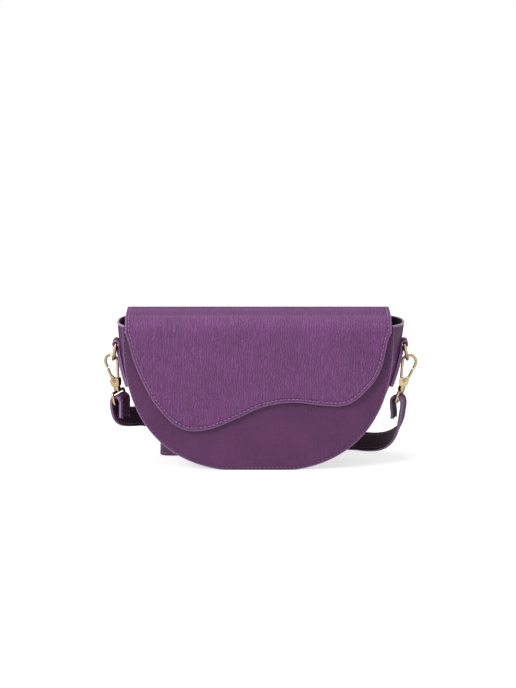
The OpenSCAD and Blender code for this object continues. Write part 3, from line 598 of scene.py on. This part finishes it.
def stitches(name, lines, body, thread="Thread"):
    """Sews along the given lines, as one mesh on one body."""
    sizes = bpy.context.scene.bag_sizes
    verts, edges = [], []
    for line in lines:
        first = len(verts)
        verts += [tuple(p) for p in line]
        edges += [(first + i, first + i + 1) for i in range(len(line) - 1)]
    guide_mesh = bpy.data.meshes.new(name + "_guide")
    guide_mesh.from_pydata(verts, edges, [])
    guide = placed(name + "_guide", guide_mesh)
    modifier = guide.modifiers.new("Stitch run", "NODES")
    modifier.node_group = group_of(
        "Stitch run", "GeometryNodeTree",
        {"Geometry": "Geometry", "Pitch": 0.0037, "Length": 0.0027, "Thread": 0.0007,
         "Material": "Material"}, stitch_nodes)
    values = {"Pitch": sizes.pitch, "Length": sizes.pitch * 0.74, "Thread": sizes.thread,
              "Material": finish_of(thread)}
    for item in modifier.node_group.interface.items_tree:
        if item.in_out == "INPUT" and item.name in values:
            modifier[item.identifier] = values[item.name]
    bpy.context.view_layer.update()
    solid = bpy.data.meshes.new_from_object(
        guide.evaluated_get(bpy.context.evaluated_depsgraph_get()))
    solid.name = name
    made = placed(name, solid)
    guide.modifiers.clear()
    bpy.data.objects.remove(guide)
    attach(made, body)
    return made


# Outline of the panels and the gusset, as the CAD part has it

def outline(steps=220, straight=26):
    """Points and outward normals of the panels' outline, from the right mouth to the left."""
    side = np.linspace(MOUTH_Z, ROUND_MID_Z, straight, endpoint=False)
    angle = np.linspace(0, math.pi, steps)
    c, s = np.cos(angle), np.sin(angle)
    x = HALF_W * np.sign(c) * np.abs(c) ** (2 / ROUND_POWER)
    z = ROUND_MID_Z - ROUND_H * np.abs(s) ** (2 / ROUND_POWER)
    nx = np.sign(x) * (np.abs(x) / HALF_W) ** (ROUND_POWER - 1) / HALF_W
    nz = -(np.abs(z - ROUND_MID_Z) / ROUND_H) ** (ROUND_POWER - 1) / ROUND_H
    p = np.vstack([stacked(HALF_W, side), stacked(x, z), stacked(-HALF_W, side[::-1])])
    n = np.vstack([np.tile([1.0, 0.0], (straight, 1)), unit(stacked(nx, nz)),
                   np.tile([-1.0, 0.0], (straight, 1))])
    q = resampled(np.hstack([p, n]), 0.0028)
    return q[:, :2], unit(q[:, 2:])


def moved_outline(d, floor=0.0):
    """The outline moved out by d, kept above the floor."""
    p, n = outline()
    q = p + n * (d[:, None] if np.ndim(d) else d)
    q[:, 1] = np.maximum(q[:, 1], floor)
    return q


def bulge(z, side):
    """How far the gusset stands out at height z."""
    share = np.maximum(0, z / MOUTH_Z - 0.1) / 0.9
    return np.where(side > 0, BULGE[1], BULGE[-1]) * share ** 1.4


def seam_step(z):
    """How far the seam edge stands proud of the gusset at height z."""
    return SEAM_PROUD * np.clip(z / (MOUTH_Z / 5), 0, 1)


def register_piece(made, body, nodes=()):
    """Puts a piece on its body and hides the CAD nodes that it stands for."""
    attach(made, body)
    if nodes:
        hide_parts(*nodes)


def d_shape(name, outer_y, inner_y, sign, materials, inset=0.0, drop=0.0, swell=0.0007):
    """D-shaped sheet filled by columns from the mouth's edge straight down to the outline."""
    sizes = bpy.context.scene.bag_sizes
    p = moved_outline(-inset, inset)
    top = MOUTH_Z - drop
    p = p[p[:, 1] < top - 0.0002]
    x, low = np.vstack([[p[0, 0], top - 0.0001], p, [p[-1, 0], top - 0.0001]]).T
    z = top + (low[None] - top) * np.linspace(0, 1, 40)[:, None]
    x = np.repeat(x[None], len(z), 0)
    dist, place = near_line(x, z, outline()[0])
    crown = swell * np.clip(dist / 0.03, 0, 1) ** 1.5 * np.clip((top - z) / 0.03, 0, 1)
    seed = 4 if sign > 0 else 3
    ripple = wander(x, z, 0.09, seed) * sizes.sag * 0.6 * np.clip(dist / 0.012, 0, 1)
    return sheet_piece(name, stacked(x, outer_y + sign * (crown + ripple), z),
                       stacked(x, inner_y, z), sizes.edge_bead, materials, stacked(x, z),
                       stacked(place, dist))


def gusset_points(depth, half, columns, edge_flat):
    """Grid on the gusset: depth under its outside, over the given half depth of the bag."""
    line, _ = outline()
    z = line[:, 1]
    side = np.where(np.arange(len(z)) < len(z) / 2, 1, -1)
    share = np.linspace(-1, 1, columns)
    y = np.sign(share) * (1 - (1 - np.abs(share)) ** 1.25) * half
    rows = []
    for v in y:
        near = half - abs(v)
        rise = np.clip(1 - (abs(v) / half) ** 2.6, 0, 1)
        lip = 0.0 if edge_flat else np.exp(-(near / 0.0011) ** 2)
        q = moved_outline(rise * bulge(z, side) - seam_step(z) * (1 - lip) - depth, depth)
        rows.append(stacked(q[:, 0], v, q[:, 1]))
    return np.array(rows), y, run_length(line)


# Operators, one for each group of pieces

class BAG_OT_panels(bpy.types.Operator):
    """Make the front and back panels of leather, with their seams."""

    bl_idname = "bag.panels"
    bl_label = "Panels"

    def execute(self, context):
        inset = context.scene.bag_sizes.panel_inset
        for name, sign, face_y in (("front_panel_leather", -1, PANEL_FACE_Y),
                                   ("back_panel_leather", 1, PANEL_BACK_Y)):
            made = d_shape(name, face_y, sign * PANEL_IN_Y, sign,
                           ["Panel leather", "Panel leather", "Edge paint"])
            register_piece(made, "bag", [name.replace("_leather", "")])
            x, z = moved_outline(-inset, inset)[2:-2].T
            stitches(name.replace("leather", "stitches"),
                     [resampled(stacked(x, face_y + sign * 0.00008, z), SEAM_STEP)], "bag",
                     "Dark thread")
        return {"FINISHED"}


class BAG_OT_gusset(bpy.types.Operator):
    """Make the gusset that runs round the sides and base, with its rolled mouth."""

    bl_idname = "bag.gusset"
    bl_label = "Gusset"

    def execute(self, context):
        sizes = context.scene.bag_sizes
        outer, y, along = gusset_points(0.0, PANEL_IN_Y, 41, False)
        inner, _, _ = gusset_points(GUSSET_T, PANEL_IN_Y, 41, True)
        off_seam = PANEL_IN_Y - np.abs(outer[..., 1])
        ripple = wander(outer[..., 1], along[None], 0.06, 9) * sizes.sag * 0.8 * np.clip(
            off_seam / 0.012, 0, 1) * np.clip(outer[..., 2] / 0.03, 0, 1)
        outer = outer + unit(outer - inner) * ripple[..., None]
        made = sheet_piece("gusset_leather", outer, inner, 0.0002,
                           ["Gusset leather", "Lining", "Edge paint"],
                           stacked(y[:, None], along[None]),
                           stacked(along[None], PANEL_IN_Y + PANEL_T - np.abs(outer[..., 1])))
        register_piece(made, "bag", ["gusset"])
        mouth = [(outer[:, end] + inner[:, end]) / 2 - np.array([0, 0, 0.0002])
                 for end in (0, -1)]
        register_piece(beads("gusset_mouth_binding", mouth, 0.00105), "bag")
        seam_y = PANEL_IN_Y + PANEL_T - sizes.panel_inset - 0.0016
        lines = []
        for seam in (-seam_y, seam_y):
            line = outer[np.argmin(np.abs(y - seam)), 3:-3].copy()
            line[:, 1] = seam
            lines.append(resampled(line, SEAM_STEP))
        stitches("gusset_stitches", lines, "bag", "Dark thread")
        return {"FINISHED"}


class BAG_OT_linings(bpy.types.Operator):
    """Make the lining inside the bag and its slip pocket."""

    bl_idname = "bag.linings"
    bl_label = "Linings"

    def execute(self, context):
        inset = SEAM_PROUD + GUSSET_T + LINING_T + 0.0002
        for name, sign in (("front_lining", -1), ("back_lining", 1)):
            made = d_shape(name + "_cloth", sign * (LINING_IN_Y + LINING_T), sign * LINING_IN_Y,
                           sign, ["Lining"] * 3, inset, 0.0009, 0.0)
            for v in made.data.vertices:
                v.co.y += sign * 0.0016 * soft_step((v.co.z - 0.1212) / 0.0036)
            register_piece(made, "bag", [name])
        outer, y, along = gusset_points(GUSSET_T + 0.0001, LINING_IN_Y, 31, True)
        inner, _, _ = gusset_points(GUSSET_T + LINING_T + 0.0001, LINING_IN_Y, 31, True)
        sheet = stacked(y[:, None], along[None])
        made = sheet_piece("gusset_lining_cloth", outer, inner, 0.0001, ["Lining"] * 3, sheet,
                           np.full(sheet.shape, FAR_IN))
        register_piece(made, "bag", ["gusset_lining"])
        low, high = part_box("slip_pocket")
        x, z = np.meshgrid(np.linspace(low.x, high.x, 41), np.linspace(low.z, high.z, 25))
        gape = 0.0008 * np.exp(-((high.z - z) / 0.012)) * np.cos(x / high.x * math.pi / 2)
        sheet = stacked(x, z)
        made = sheet_piece("slip_pocket_cloth", stacked(x, low.y - gape, z),
                           stacked(x, low.y + LINING_T * 0.9 - gape, z), 0.0002,
                           ["Lining", "Lining", "Edge paint"], sheet,
                           np.full(sheet.shape, FAR_IN))
        register_piece(made, "bag", ["slip_pocket"])
        left, right, foot, top = low.x + 0.002, high.x - 0.002, low.z + 0.002, high.z - 0.002
        rim = [(a, low.y - 0.0001, b)
               for a, b in ((left, top), (left, foot), (right, foot), (right, top))]
        stitches("slip_pocket_stitches", [resampled(rim, SEAM_STEP)], "bag")
        return {"FINISHED"}


def flap_profile(v, depth):
    """Place in the YZ plane of points v along the flap's outside, at a depth under it."""
    foot, back, top, front = FLAP_MARKS
    back_y, front_y = TAIL_OUT_Y - ROLL_BACK, FLAP_FRONT_Y + ROLL_FRONT
    back_z, front_z = FLAP_TOP_Z - ROLL_BACK, FLAP_TOP_Z - ROLL_FRONT
    a, b = (v - foot) / ROLL_BACK, (v - top) / ROLL_FRONT
    where = [v <= foot, v <= back, v <= top, v <= front, v > front]
    y = np.select(where, [
        TAIL_OUT_Y - depth, back_y + (ROLL_BACK - depth) * np.cos(a), back_y - (v - back),
        front_y - (ROLL_FRONT - depth) * np.sin(b), FLAP_FRONT_Y + depth])
    z = np.select(where, [
        TAIL_LOW_Z + v, back_z + (ROLL_BACK - depth) * np.sin(a), FLAP_TOP_Z - depth,
        front_z + (ROLL_FRONT - depth) * np.cos(b), front_z - (v - front)])
    return y, z


def flap_edge(inset):
    """The flap's lower edge on its flat sheet, and the same line pulled in."""
    x, z = curve_through(FLAP_EDGE, bpy.context.scene.bag_sizes.columns).T
    flat = stacked(x * FLAP_HALF_W, FLAP_MARKS[3] + (FLAP_TOP_Z - ROLL_FRONT) - z * MOUTH_Z)
    along = unit(np.gradient(flat, axis=0))
    pulled = flat + inset * stacked(along[:, 1], -along[:, 0])
    pulled[:, 0] = np.clip(pulled[:, 0], -FLAP_HALF_W + inset, FLAP_HALF_W - inset)
    return flat, pulled


def flap_grid(first, inset, depth_at):
    """Flap sheet from v = first to its lower edge, inset at the edges, at the given depths."""
    flat, pulled = flap_edge(inset)
    reach = np.maximum.accumulate(pulled[:, 0])
    x, end = pulled[np.concatenate([[True], np.diff(reach) > 1e-6])].T
    split = FLAP_MARKS[1] + 0.4 * (FLAP_MARKS[2] - FLAP_MARKS[1])
    hinge = MOUTH_Z - TAIL_LOW_Z
    start, stop = max(first, hinge - 0.0012), hinge + 0.0052
    foot, bend, over, front = FLAP_ROWS
    upper = np.concatenate([np.linspace(first, start, foot * (first < start), endpoint=False),
                            np.linspace(start, stop, bend, endpoint=False),
                            np.linspace(stop, split, over)])
    lower = np.linspace(0, 1, front)[1:, None]
    v = np.vstack([np.repeat(upper[:, None], len(x), 1), split + (end[None] - split) * lower])
    x = np.repeat(x[None], len(v), 0)
    border = np.vstack([[-FLAP_HALF_W, 0], flat, [FLAP_HALF_W, 0]])
    dist, place = near_line(x, v, border)
    y, z = flap_profile(v, depth_at(x, v, dist))
    return x, v, y, z, dist, place, len(upper)


def flap_softness(x, v, dist):
    """How far the flap's leather stands off its plain form: slow folds, none at the tail."""
    loose = np.clip((v - FLAP_MARKS[1]) / 0.03, 0, 1) * np.clip(dist / 0.008, 0.25, 1)
    return bpy.context.scene.bag_sizes.sag * loose * (
        0.55 * wander(x, v * 0.4, 0.05, 21) + 0.6 * wander(x, v, 0.12, 5))


def flap_sheets(names, grid, inner, crown, materials):
    """Two sheets: the one by the hinge, which stays on no body, and the rest, which is the flap's.
    """
    x, v, y, z, dist, place, cut = grid
    outer, inner = stacked(x, y, z), stacked(x, *inner)
    sheet, edge = stacked(x, v), stacked(place, dist)
    for (name, replaced), rows in zip(names, (slice(0, cut), slice(cut - 1, None))):
        made = sheet_piece(name, outer[rows], inner[rows], crown, materials, sheet[rows],
                           edge[rows])
        if replaced:
            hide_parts(replaced)
        if "bend" in name:
            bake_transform(made)
        else:
            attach(made, "flap")


def flap_seam(inset, first):
    """Line of the seam on the flap's outside, from its left top round the wave to the right."""
    _, flat = flap_edge(inset)
    side = np.linspace(first, flat[0, 1] - 0.001, 60)
    line = resampled(np.vstack([stacked(-FLAP_HALF_W + inset, side), flat[2:-2],
                                stacked(FLAP_HALF_W - inset, side[::-1])]), FINE_STEP)
    x, v = line.T
    return stacked(x, *flap_profile(v, -flap_softness(x, v, np.full(len(x), inset)) - 0.00008))


class BAG_OT_flap(bpy.types.Operator):
    """Make the flap and its tail as one sheet of leather, in two pieces parted on the flap's top.
    """

    bl_idname = "bag.flap"
    bl_label = "Flap"

    def execute(self, context):
        sizes = context.scene.bag_sizes
        grid = flap_grid(0.0, 0.0, lambda x, v, d: 0.0003 * np.exp(-(d / 0.0007) ** 2)
                         - flap_softness(x, v, d))
        flap_sheets((("flap_bend_leather", "flap_tail"), ("flap_leather_sheet", "flap_leather")),
                    grid, flap_profile(grid[1], FLAP_T), sizes.edge_bead,
                    ["Flap leather", "Lining", "Edge paint"])
        seam = flap_seam(sizes.inset, FLAP_MARKS[1] + 0.003)
        stitches("flap_stitches", [resampled(seam, SEAM_STEP)], "flap")
        top, low = MOUTH_Z - 0.002, TAIL_LOW_Z + sizes.inset
        side = FLAP_HALF_W - sizes.inset
        loop = [(x, TAIL_OUT_Y + 0.0001, z)
                for x, z in ((-side, top), (-side, low), (side, low), (side, top))]
        stitches("flap_tail_stitches", [resampled(loop, SEAM_STEP)], "bag")
        return {"FINISHED"}


class BAG_OT_flap_lining(bpy.types.Operator):
    """Make the lining on the inside of the flap, over its board."""

    bl_idname = "bag.flap_lining"
    bl_label = "Flap lining"

    def execute(self, context):
        def under(extra):
            def depth(_, v, d):
                over = soft_step((d - 0.0022) / 0.003) * np.clip(
                    (v - FLAP_MARKS[1]) / 0.004, 0, 1)
                return FLAP_T + 0.00002 + (BOARD_T + 0.00003) * over + extra
            return flap_grid(MOUTH_Z - TAIL_LOW_Z + 0.0006, 0.0006, depth)

        flap_sheets((("flap_bend_lining", None), ("flap_lining_cloth", "flap_lining")),
                    under(0.0), under(LINING_T)[2:4], 0.0002,
                    ["Lining", "Lining", "Edge paint"])
        return {"FINISHED"}


def ribbon(name, points, width_dirs, section, materials, parts):
    """Sweeps a section (across, out) along points; parts gives each side's material."""
    p, s = np.array(points, float), np.array(section, float)
    t = unit(np.gradient(p, axis=0))
    w = np.array(width_dirs, float)
    w = unit(w - t * (w * t).sum(1)[:, None])
    n = np.cross(t, w)
    verts = p[:, None] + w[:, None] * s[None, :, :1] + n[:, None] * s[None, :, 1:]
    along, across = run_length(p)[:, None], s[None, :, 0]
    made = object_from(
        name, verts.reshape(-1, 3), swept_faces(len(p), len(s)), materials,
        parts * (len(p) - 1) + [2, 2], stacked(across, along).reshape(-1, 2),
        stacked(along, np.abs(s[:, 0]).max() - np.abs(across)).reshape(-1, 2))
    return made, p, w, n


def strap_section(half, low, high, crown=0.0003):
    """Section of one layer of the strap with crowned edges: points and their materials."""
    across = np.linspace(-half + crown, half - crown, 5)
    mid = (low + high) / 2
    points = [(half, mid), *[(a, high) for a in across[::-1]],
              (-half, mid), *[(a, low) for a in across]]
    steps = len(across) - 1
    return points, [2] + [0] * steps + [2, 2] + [1] * steps + [2]


def strap_path():
    """Centre line of the strap in metres and its width directions."""
    route = np.array([STRAP_ROUTE[0], *STRAP_ROUTE, STRAP_ROUTE[-1]], float)
    gaps = np.linalg.norm(np.diff(route[:, :3], axis=0), axis=1)
    fine = []
    for i in range(1, len(route) - 2):
        a, b = route[i:i + 2]
        if gaps[i] > STRAIGHT_RUN:
            steps = int(gaps[i] / STRAIGHT_STEP)
            fine += [a + (b - a) * k / steps for k in range(steps)]
        else:
            before = route[i - 1] if gaps[i - 1] < STRAIGHT_RUN else 2 * a - b
            after = route[i + 2] if gaps[i + 1] < STRAIGHT_RUN else 2 * b - a
            fine += list(curve_through([before, a, b, after], 6)[6:12])
    fine = np.array(fine + [route[-1]])
    turn = np.radians(np.where(fine[:, 0] < 0, STRAP_TURN[-1], STRAP_TURN[1]))
    stand = fine[:, 3:4]
    flat = stacked(np.sin(turn), np.cos(turn), 0.0)
    return fine[:, :3] * MM, stand * np.array([0, 0, 1.0]) + (1 - stand) * flat


class BAG_OT_strap(bpy.types.Operator):
    """Make the shoulder strap: leather, lining, painted edges and two seams."""

    bl_idname = "bag.strap"
    bl_label = "Strap"

    def execute(self, context):
        sizes = context.scene.bag_sizes
        path, width = strap_path()
        half = sizes.strap_width / 2
        outer, parts = strap_section(half, -STRAP_OUT, STRAP_SPLIT)
        strap, p, w, n = ribbon("strap_leather", path, width, outer,
                                ["Strap lining", "Strap leather", "Edge paint"], parts)
        inner, parts = strap_section(half - 0.0002, STRAP_SPLIT, STRAP_OUT)
        lining, _, _, _ = ribbon("strap_lining", path, width, inner,
                                 ["Strap lining", "Strap lining", "Edge paint"], parts)
        inset = half - sizes.inset
        sewn = [stitches(name, [resampled(p + w * s * inset + n * off, FINE_STEP)
                                for s in (-1, 1)], "bag", thread)
                for name, off, thread in (
                    ("strap_stitches", -STRAP_OUT - 0.00005, "Thread"),
                    ("strap_lining_stitches", STRAP_OUT + 0.00005, "Dark thread"))]
        for made in (strap, lining):
            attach(made, "bag")
        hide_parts("strap")
        return {"FINISHED"}


def gusset_wall(z, side):
    """How far out the gusset's side stands at height z."""
    share = max(0.0, ROUND_MID_Z - z) / ROUND_H
    x = HALF_W * (1 - share ** ROUND_POWER) ** (1 / ROUND_POWER)
    return x + float(bulge(np.array(z), side)) - SEAM_PROUD


class BAG_OT_tabs(bpy.types.Operator):
    """Make the two leather tabs that hold the rings."""

    bl_idname = "bag.tabs"
    bl_label = "Ring tabs"

    def execute(self, context):
        loop_r = RING_WIRE / 2 + 0.0005 + TAB_T / 2
        for name, side in (("tab_left", -1), ("tab_right", 1)):
            low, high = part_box(name)
            bar_x, bar_z = abs(BAR[side][0]), BAR[side][1]
            walls = [(gusset_wall(z, side) + 0.0003, z)
                     for z in np.linspace(low.z, bar_z - RING_WIRE * 2.2, 12)]
            inner = [(x + TAB_T / 2, z) for x, z in walls]
            outer = [(x + 1.5 * TAB_T, z) for x, z in walls]
            arc = [(bar_x - loop_r * math.cos(a), bar_z + loop_r * math.sin(a))
                   for a in np.linspace(-0.12, math.pi + 0.5, 22)]
            x, z = resampled(curve_through(inner + arc + outer[::-1], 3), 0.0009).T
            half = (high.y - low.y) / 2
            section, parts = strap_section(half, -TAB_T / 2, TAB_T / 2)
            made, p, w, n = ribbon(name + "_leather", stacked(x * side, 0.0, z),
                                   np.tile([0.0, -side, 0.0], (len(x), 1)), section,
                                   ["Strap leather", "Strap leather", "Edge paint"], parts)
            register_piece(made, "bag", [name])
            outside = slice(int(len(p) * 0.56), len(p) - 4)
            p, w, out = p[outside], w[outside], n[outside] * (TAB_T / 2 + 0.0001)
            if out[len(out) // 2, 0] * side < 0:
                out = -out
            lines = [resampled(p + w * s * (half - context.scene.bag_sizes.inset) + out, FINE_STEP)
                     for s in (-1, 1)]
            foot = np.linspace(lines[0][-1], lines[1][-1], 20)
            stitches(name + "_stitches", lines + [resampled(foot, FINE_STEP)], "bag")
        return {"FINISHED"}


class BAG_OT_hardware(bpy.types.Operator):
    """Give the rings, hooks, eyes, snap and boards their finishes."""

    bl_idname = "bag.hardware"
    bl_label = "Hardware"

    def execute(self, context):
        finishes = {"spring": "Spring steel", "washer": "Spring steel", "pin": "Rivet gold",
                    "board": "Fibre board", "ring_": "Pale gold", "hook": "Pale gold",
                    "gate": "Pale gold", "swivel": "Pale gold", "magnet": "Pale gold"}
        for name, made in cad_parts.items():
            finish = next((finishes[word] for word in finishes if word in name), None)
            for place in made.material_slots if finish else ():
                place.material = finish_of(finish)
        return {"FINISHED"}


def seen_directly(tree):
    """One where the eye, a reflection or glass sees the surface, and nought for other rays."""
    path = node(tree, "ShaderNodeLightPath").outputs
    return calc(tree, "MAXIMUM", path["Is Camera Ray"],
                calc(tree, "MAXIMUM", path["Is Glossy Ray"], path["Is Transmission Ray"]))


class BAG_OT_stage(bpy.types.Operator):
    """Make the pale floor, the soft studio light and the camera."""

    bl_idname = "bag.stage"
    bl_label = "Stage"

    def execute(self, context):
        scene = context.scene
        mesh = bpy.data.meshes.new("floor")
        half = 6
        mesh.from_pydata([(-half, -half, 0), (half, -half, 0), (half, half, 0), (-half, half, 0)],
                         [], [(0, 1, 2, 3)])
        floor = placed("floor", mesh)
        material, tree = tree_of("Floor")
        where = node(tree, "ShaderNodeTexCoord").outputs["Object"]
        reach = node(tree, "ShaderNodeVectorMath", {0: where}, operation="LENGTH")
        far = ease(tree, reach.outputs["Value"], 0.25, 1.6, 0.68, 0.85)
        diffuse = node(tree, "ShaderNodeBsdfDiffuse", {"Color": (0.60, 0.60, 0.60, 1)})
        glow = node(tree, "ShaderNodeEmission",
                    {"Strength": calc(tree, "MULTIPLY", seen_directly(tree), far)})
        both = node(tree, "ShaderNodeAddShader", {0: diffuse.outputs[0], 1: glow.outputs[0]})
        node(tree, "ShaderNodeOutputMaterial", {"Surface": both.outputs[0]})
        mesh.materials.append(material)
        world = bpy.data.worlds.new("Studio")
        scene.world = world
        world.use_nodes = True
        tree = world.node_tree
        tree.nodes.clear()
        back = node(tree, "ShaderNodeBackground", {
            "Color": (1, 1, 1, 1),
            "Strength": calc(tree, "MULTIPLY_ADD", seen_directly(tree), 0.55, 0.45)})
        node(tree, "ShaderNodeOutputWorld", {"Surface": back.outputs[0]})
        for name, place, size, power in (
                ("key_light", (-1.9, -1.8, 1.7), 1.4, 60.0),
                ("fill_light", (1.9, -1.9, 1.0), 1.8, 6.5),
                ("top_light", (-0.2, -0.5, 2.3), 0.9, 17.0)):
            data = bpy.data.lights.new(name, "AREA")
            data.shape = "DISK"
            data.size = size
            data.energy = power
            lamp = placed(name, data)
            lamp.location = place
            lamp.rotation_euler = (Vector((0, 0, 0.07)) - Vector(place)).to_track_quat(
                "-Z", "Y").to_euler()
        data = bpy.data.cameras.new("camera")
        data.sensor_width = 36.0
        data.lens = 168.8
        data.clip_end = 50.0
        camera = placed("camera", data)
        tilt, distance = math.radians(9.75), 2.8
        target = Vector((-0.0002, PANEL_FACE_Y - 0.005, 0.1127))
        away = Vector((0, -math.cos(tilt), math.sin(tilt)))
        camera.location = target + away * distance
        camera.rotation_euler = (-away).to_track_quat("-Z", "Y").to_euler()
        scene.camera = camera
        scene.view_settings.view_transform = "Standard"
        return {"FINISHED"}


class BAG_PT_handbag(bpy.types.Panel):
    """Lists the handbag's pieces in the sidebar."""

    bl_idname = "BAG_PT_handbag"
    bl_label = "Saddle handbag"
    bl_space_type = "VIEW_3D"
    bl_region_type = "UI"
    bl_category = "Handbag"

    def draw(self, context):
        layout = self.layout
        for group in (context.scene.bag_sizes, context.scene.bag_colours):
            for name in group.bl_rna.properties.keys():
                if name not in ("rna_type", "name"):
                    layout.prop(group, name)
        for kind in OPERATORS:
            layout.operator(kind.bl_idname)


# In the order in which main runs them
OPERATORS = (BAG_OT_stage, BAG_OT_strap, BAG_OT_hardware, BAG_OT_panels, BAG_OT_gusset,
             BAG_OT_linings, BAG_OT_tabs, BAG_OT_flap, BAG_OT_flap_lining)
CLASSES = (BagSizes, BagColours, *OPERATORS, BAG_PT_handbag)


def register():
    """Registers the classes and hangs the settings on the scene."""
    for kind in CLASSES:
        bpy.utils.register_class(kind)
    bpy.types.Scene.bag_sizes = PointerProperty(type=BagSizes)
    bpy.types.Scene.bag_colours = PointerProperty(type=BagColours)


def unregister():
    """Takes the settings and the classes away again."""
    del bpy.types.Scene.bag_sizes
    del bpy.types.Scene.bag_colours
    for kind in reversed(CLASSES):
        bpy.utils.unregister_class(kind)


def main():
    register()
    for kind in OPERATORS:
        getattr(bpy.ops.bag, kind.bl_idname.split(".")[1])()


if __name__ == "__main__":
    main()
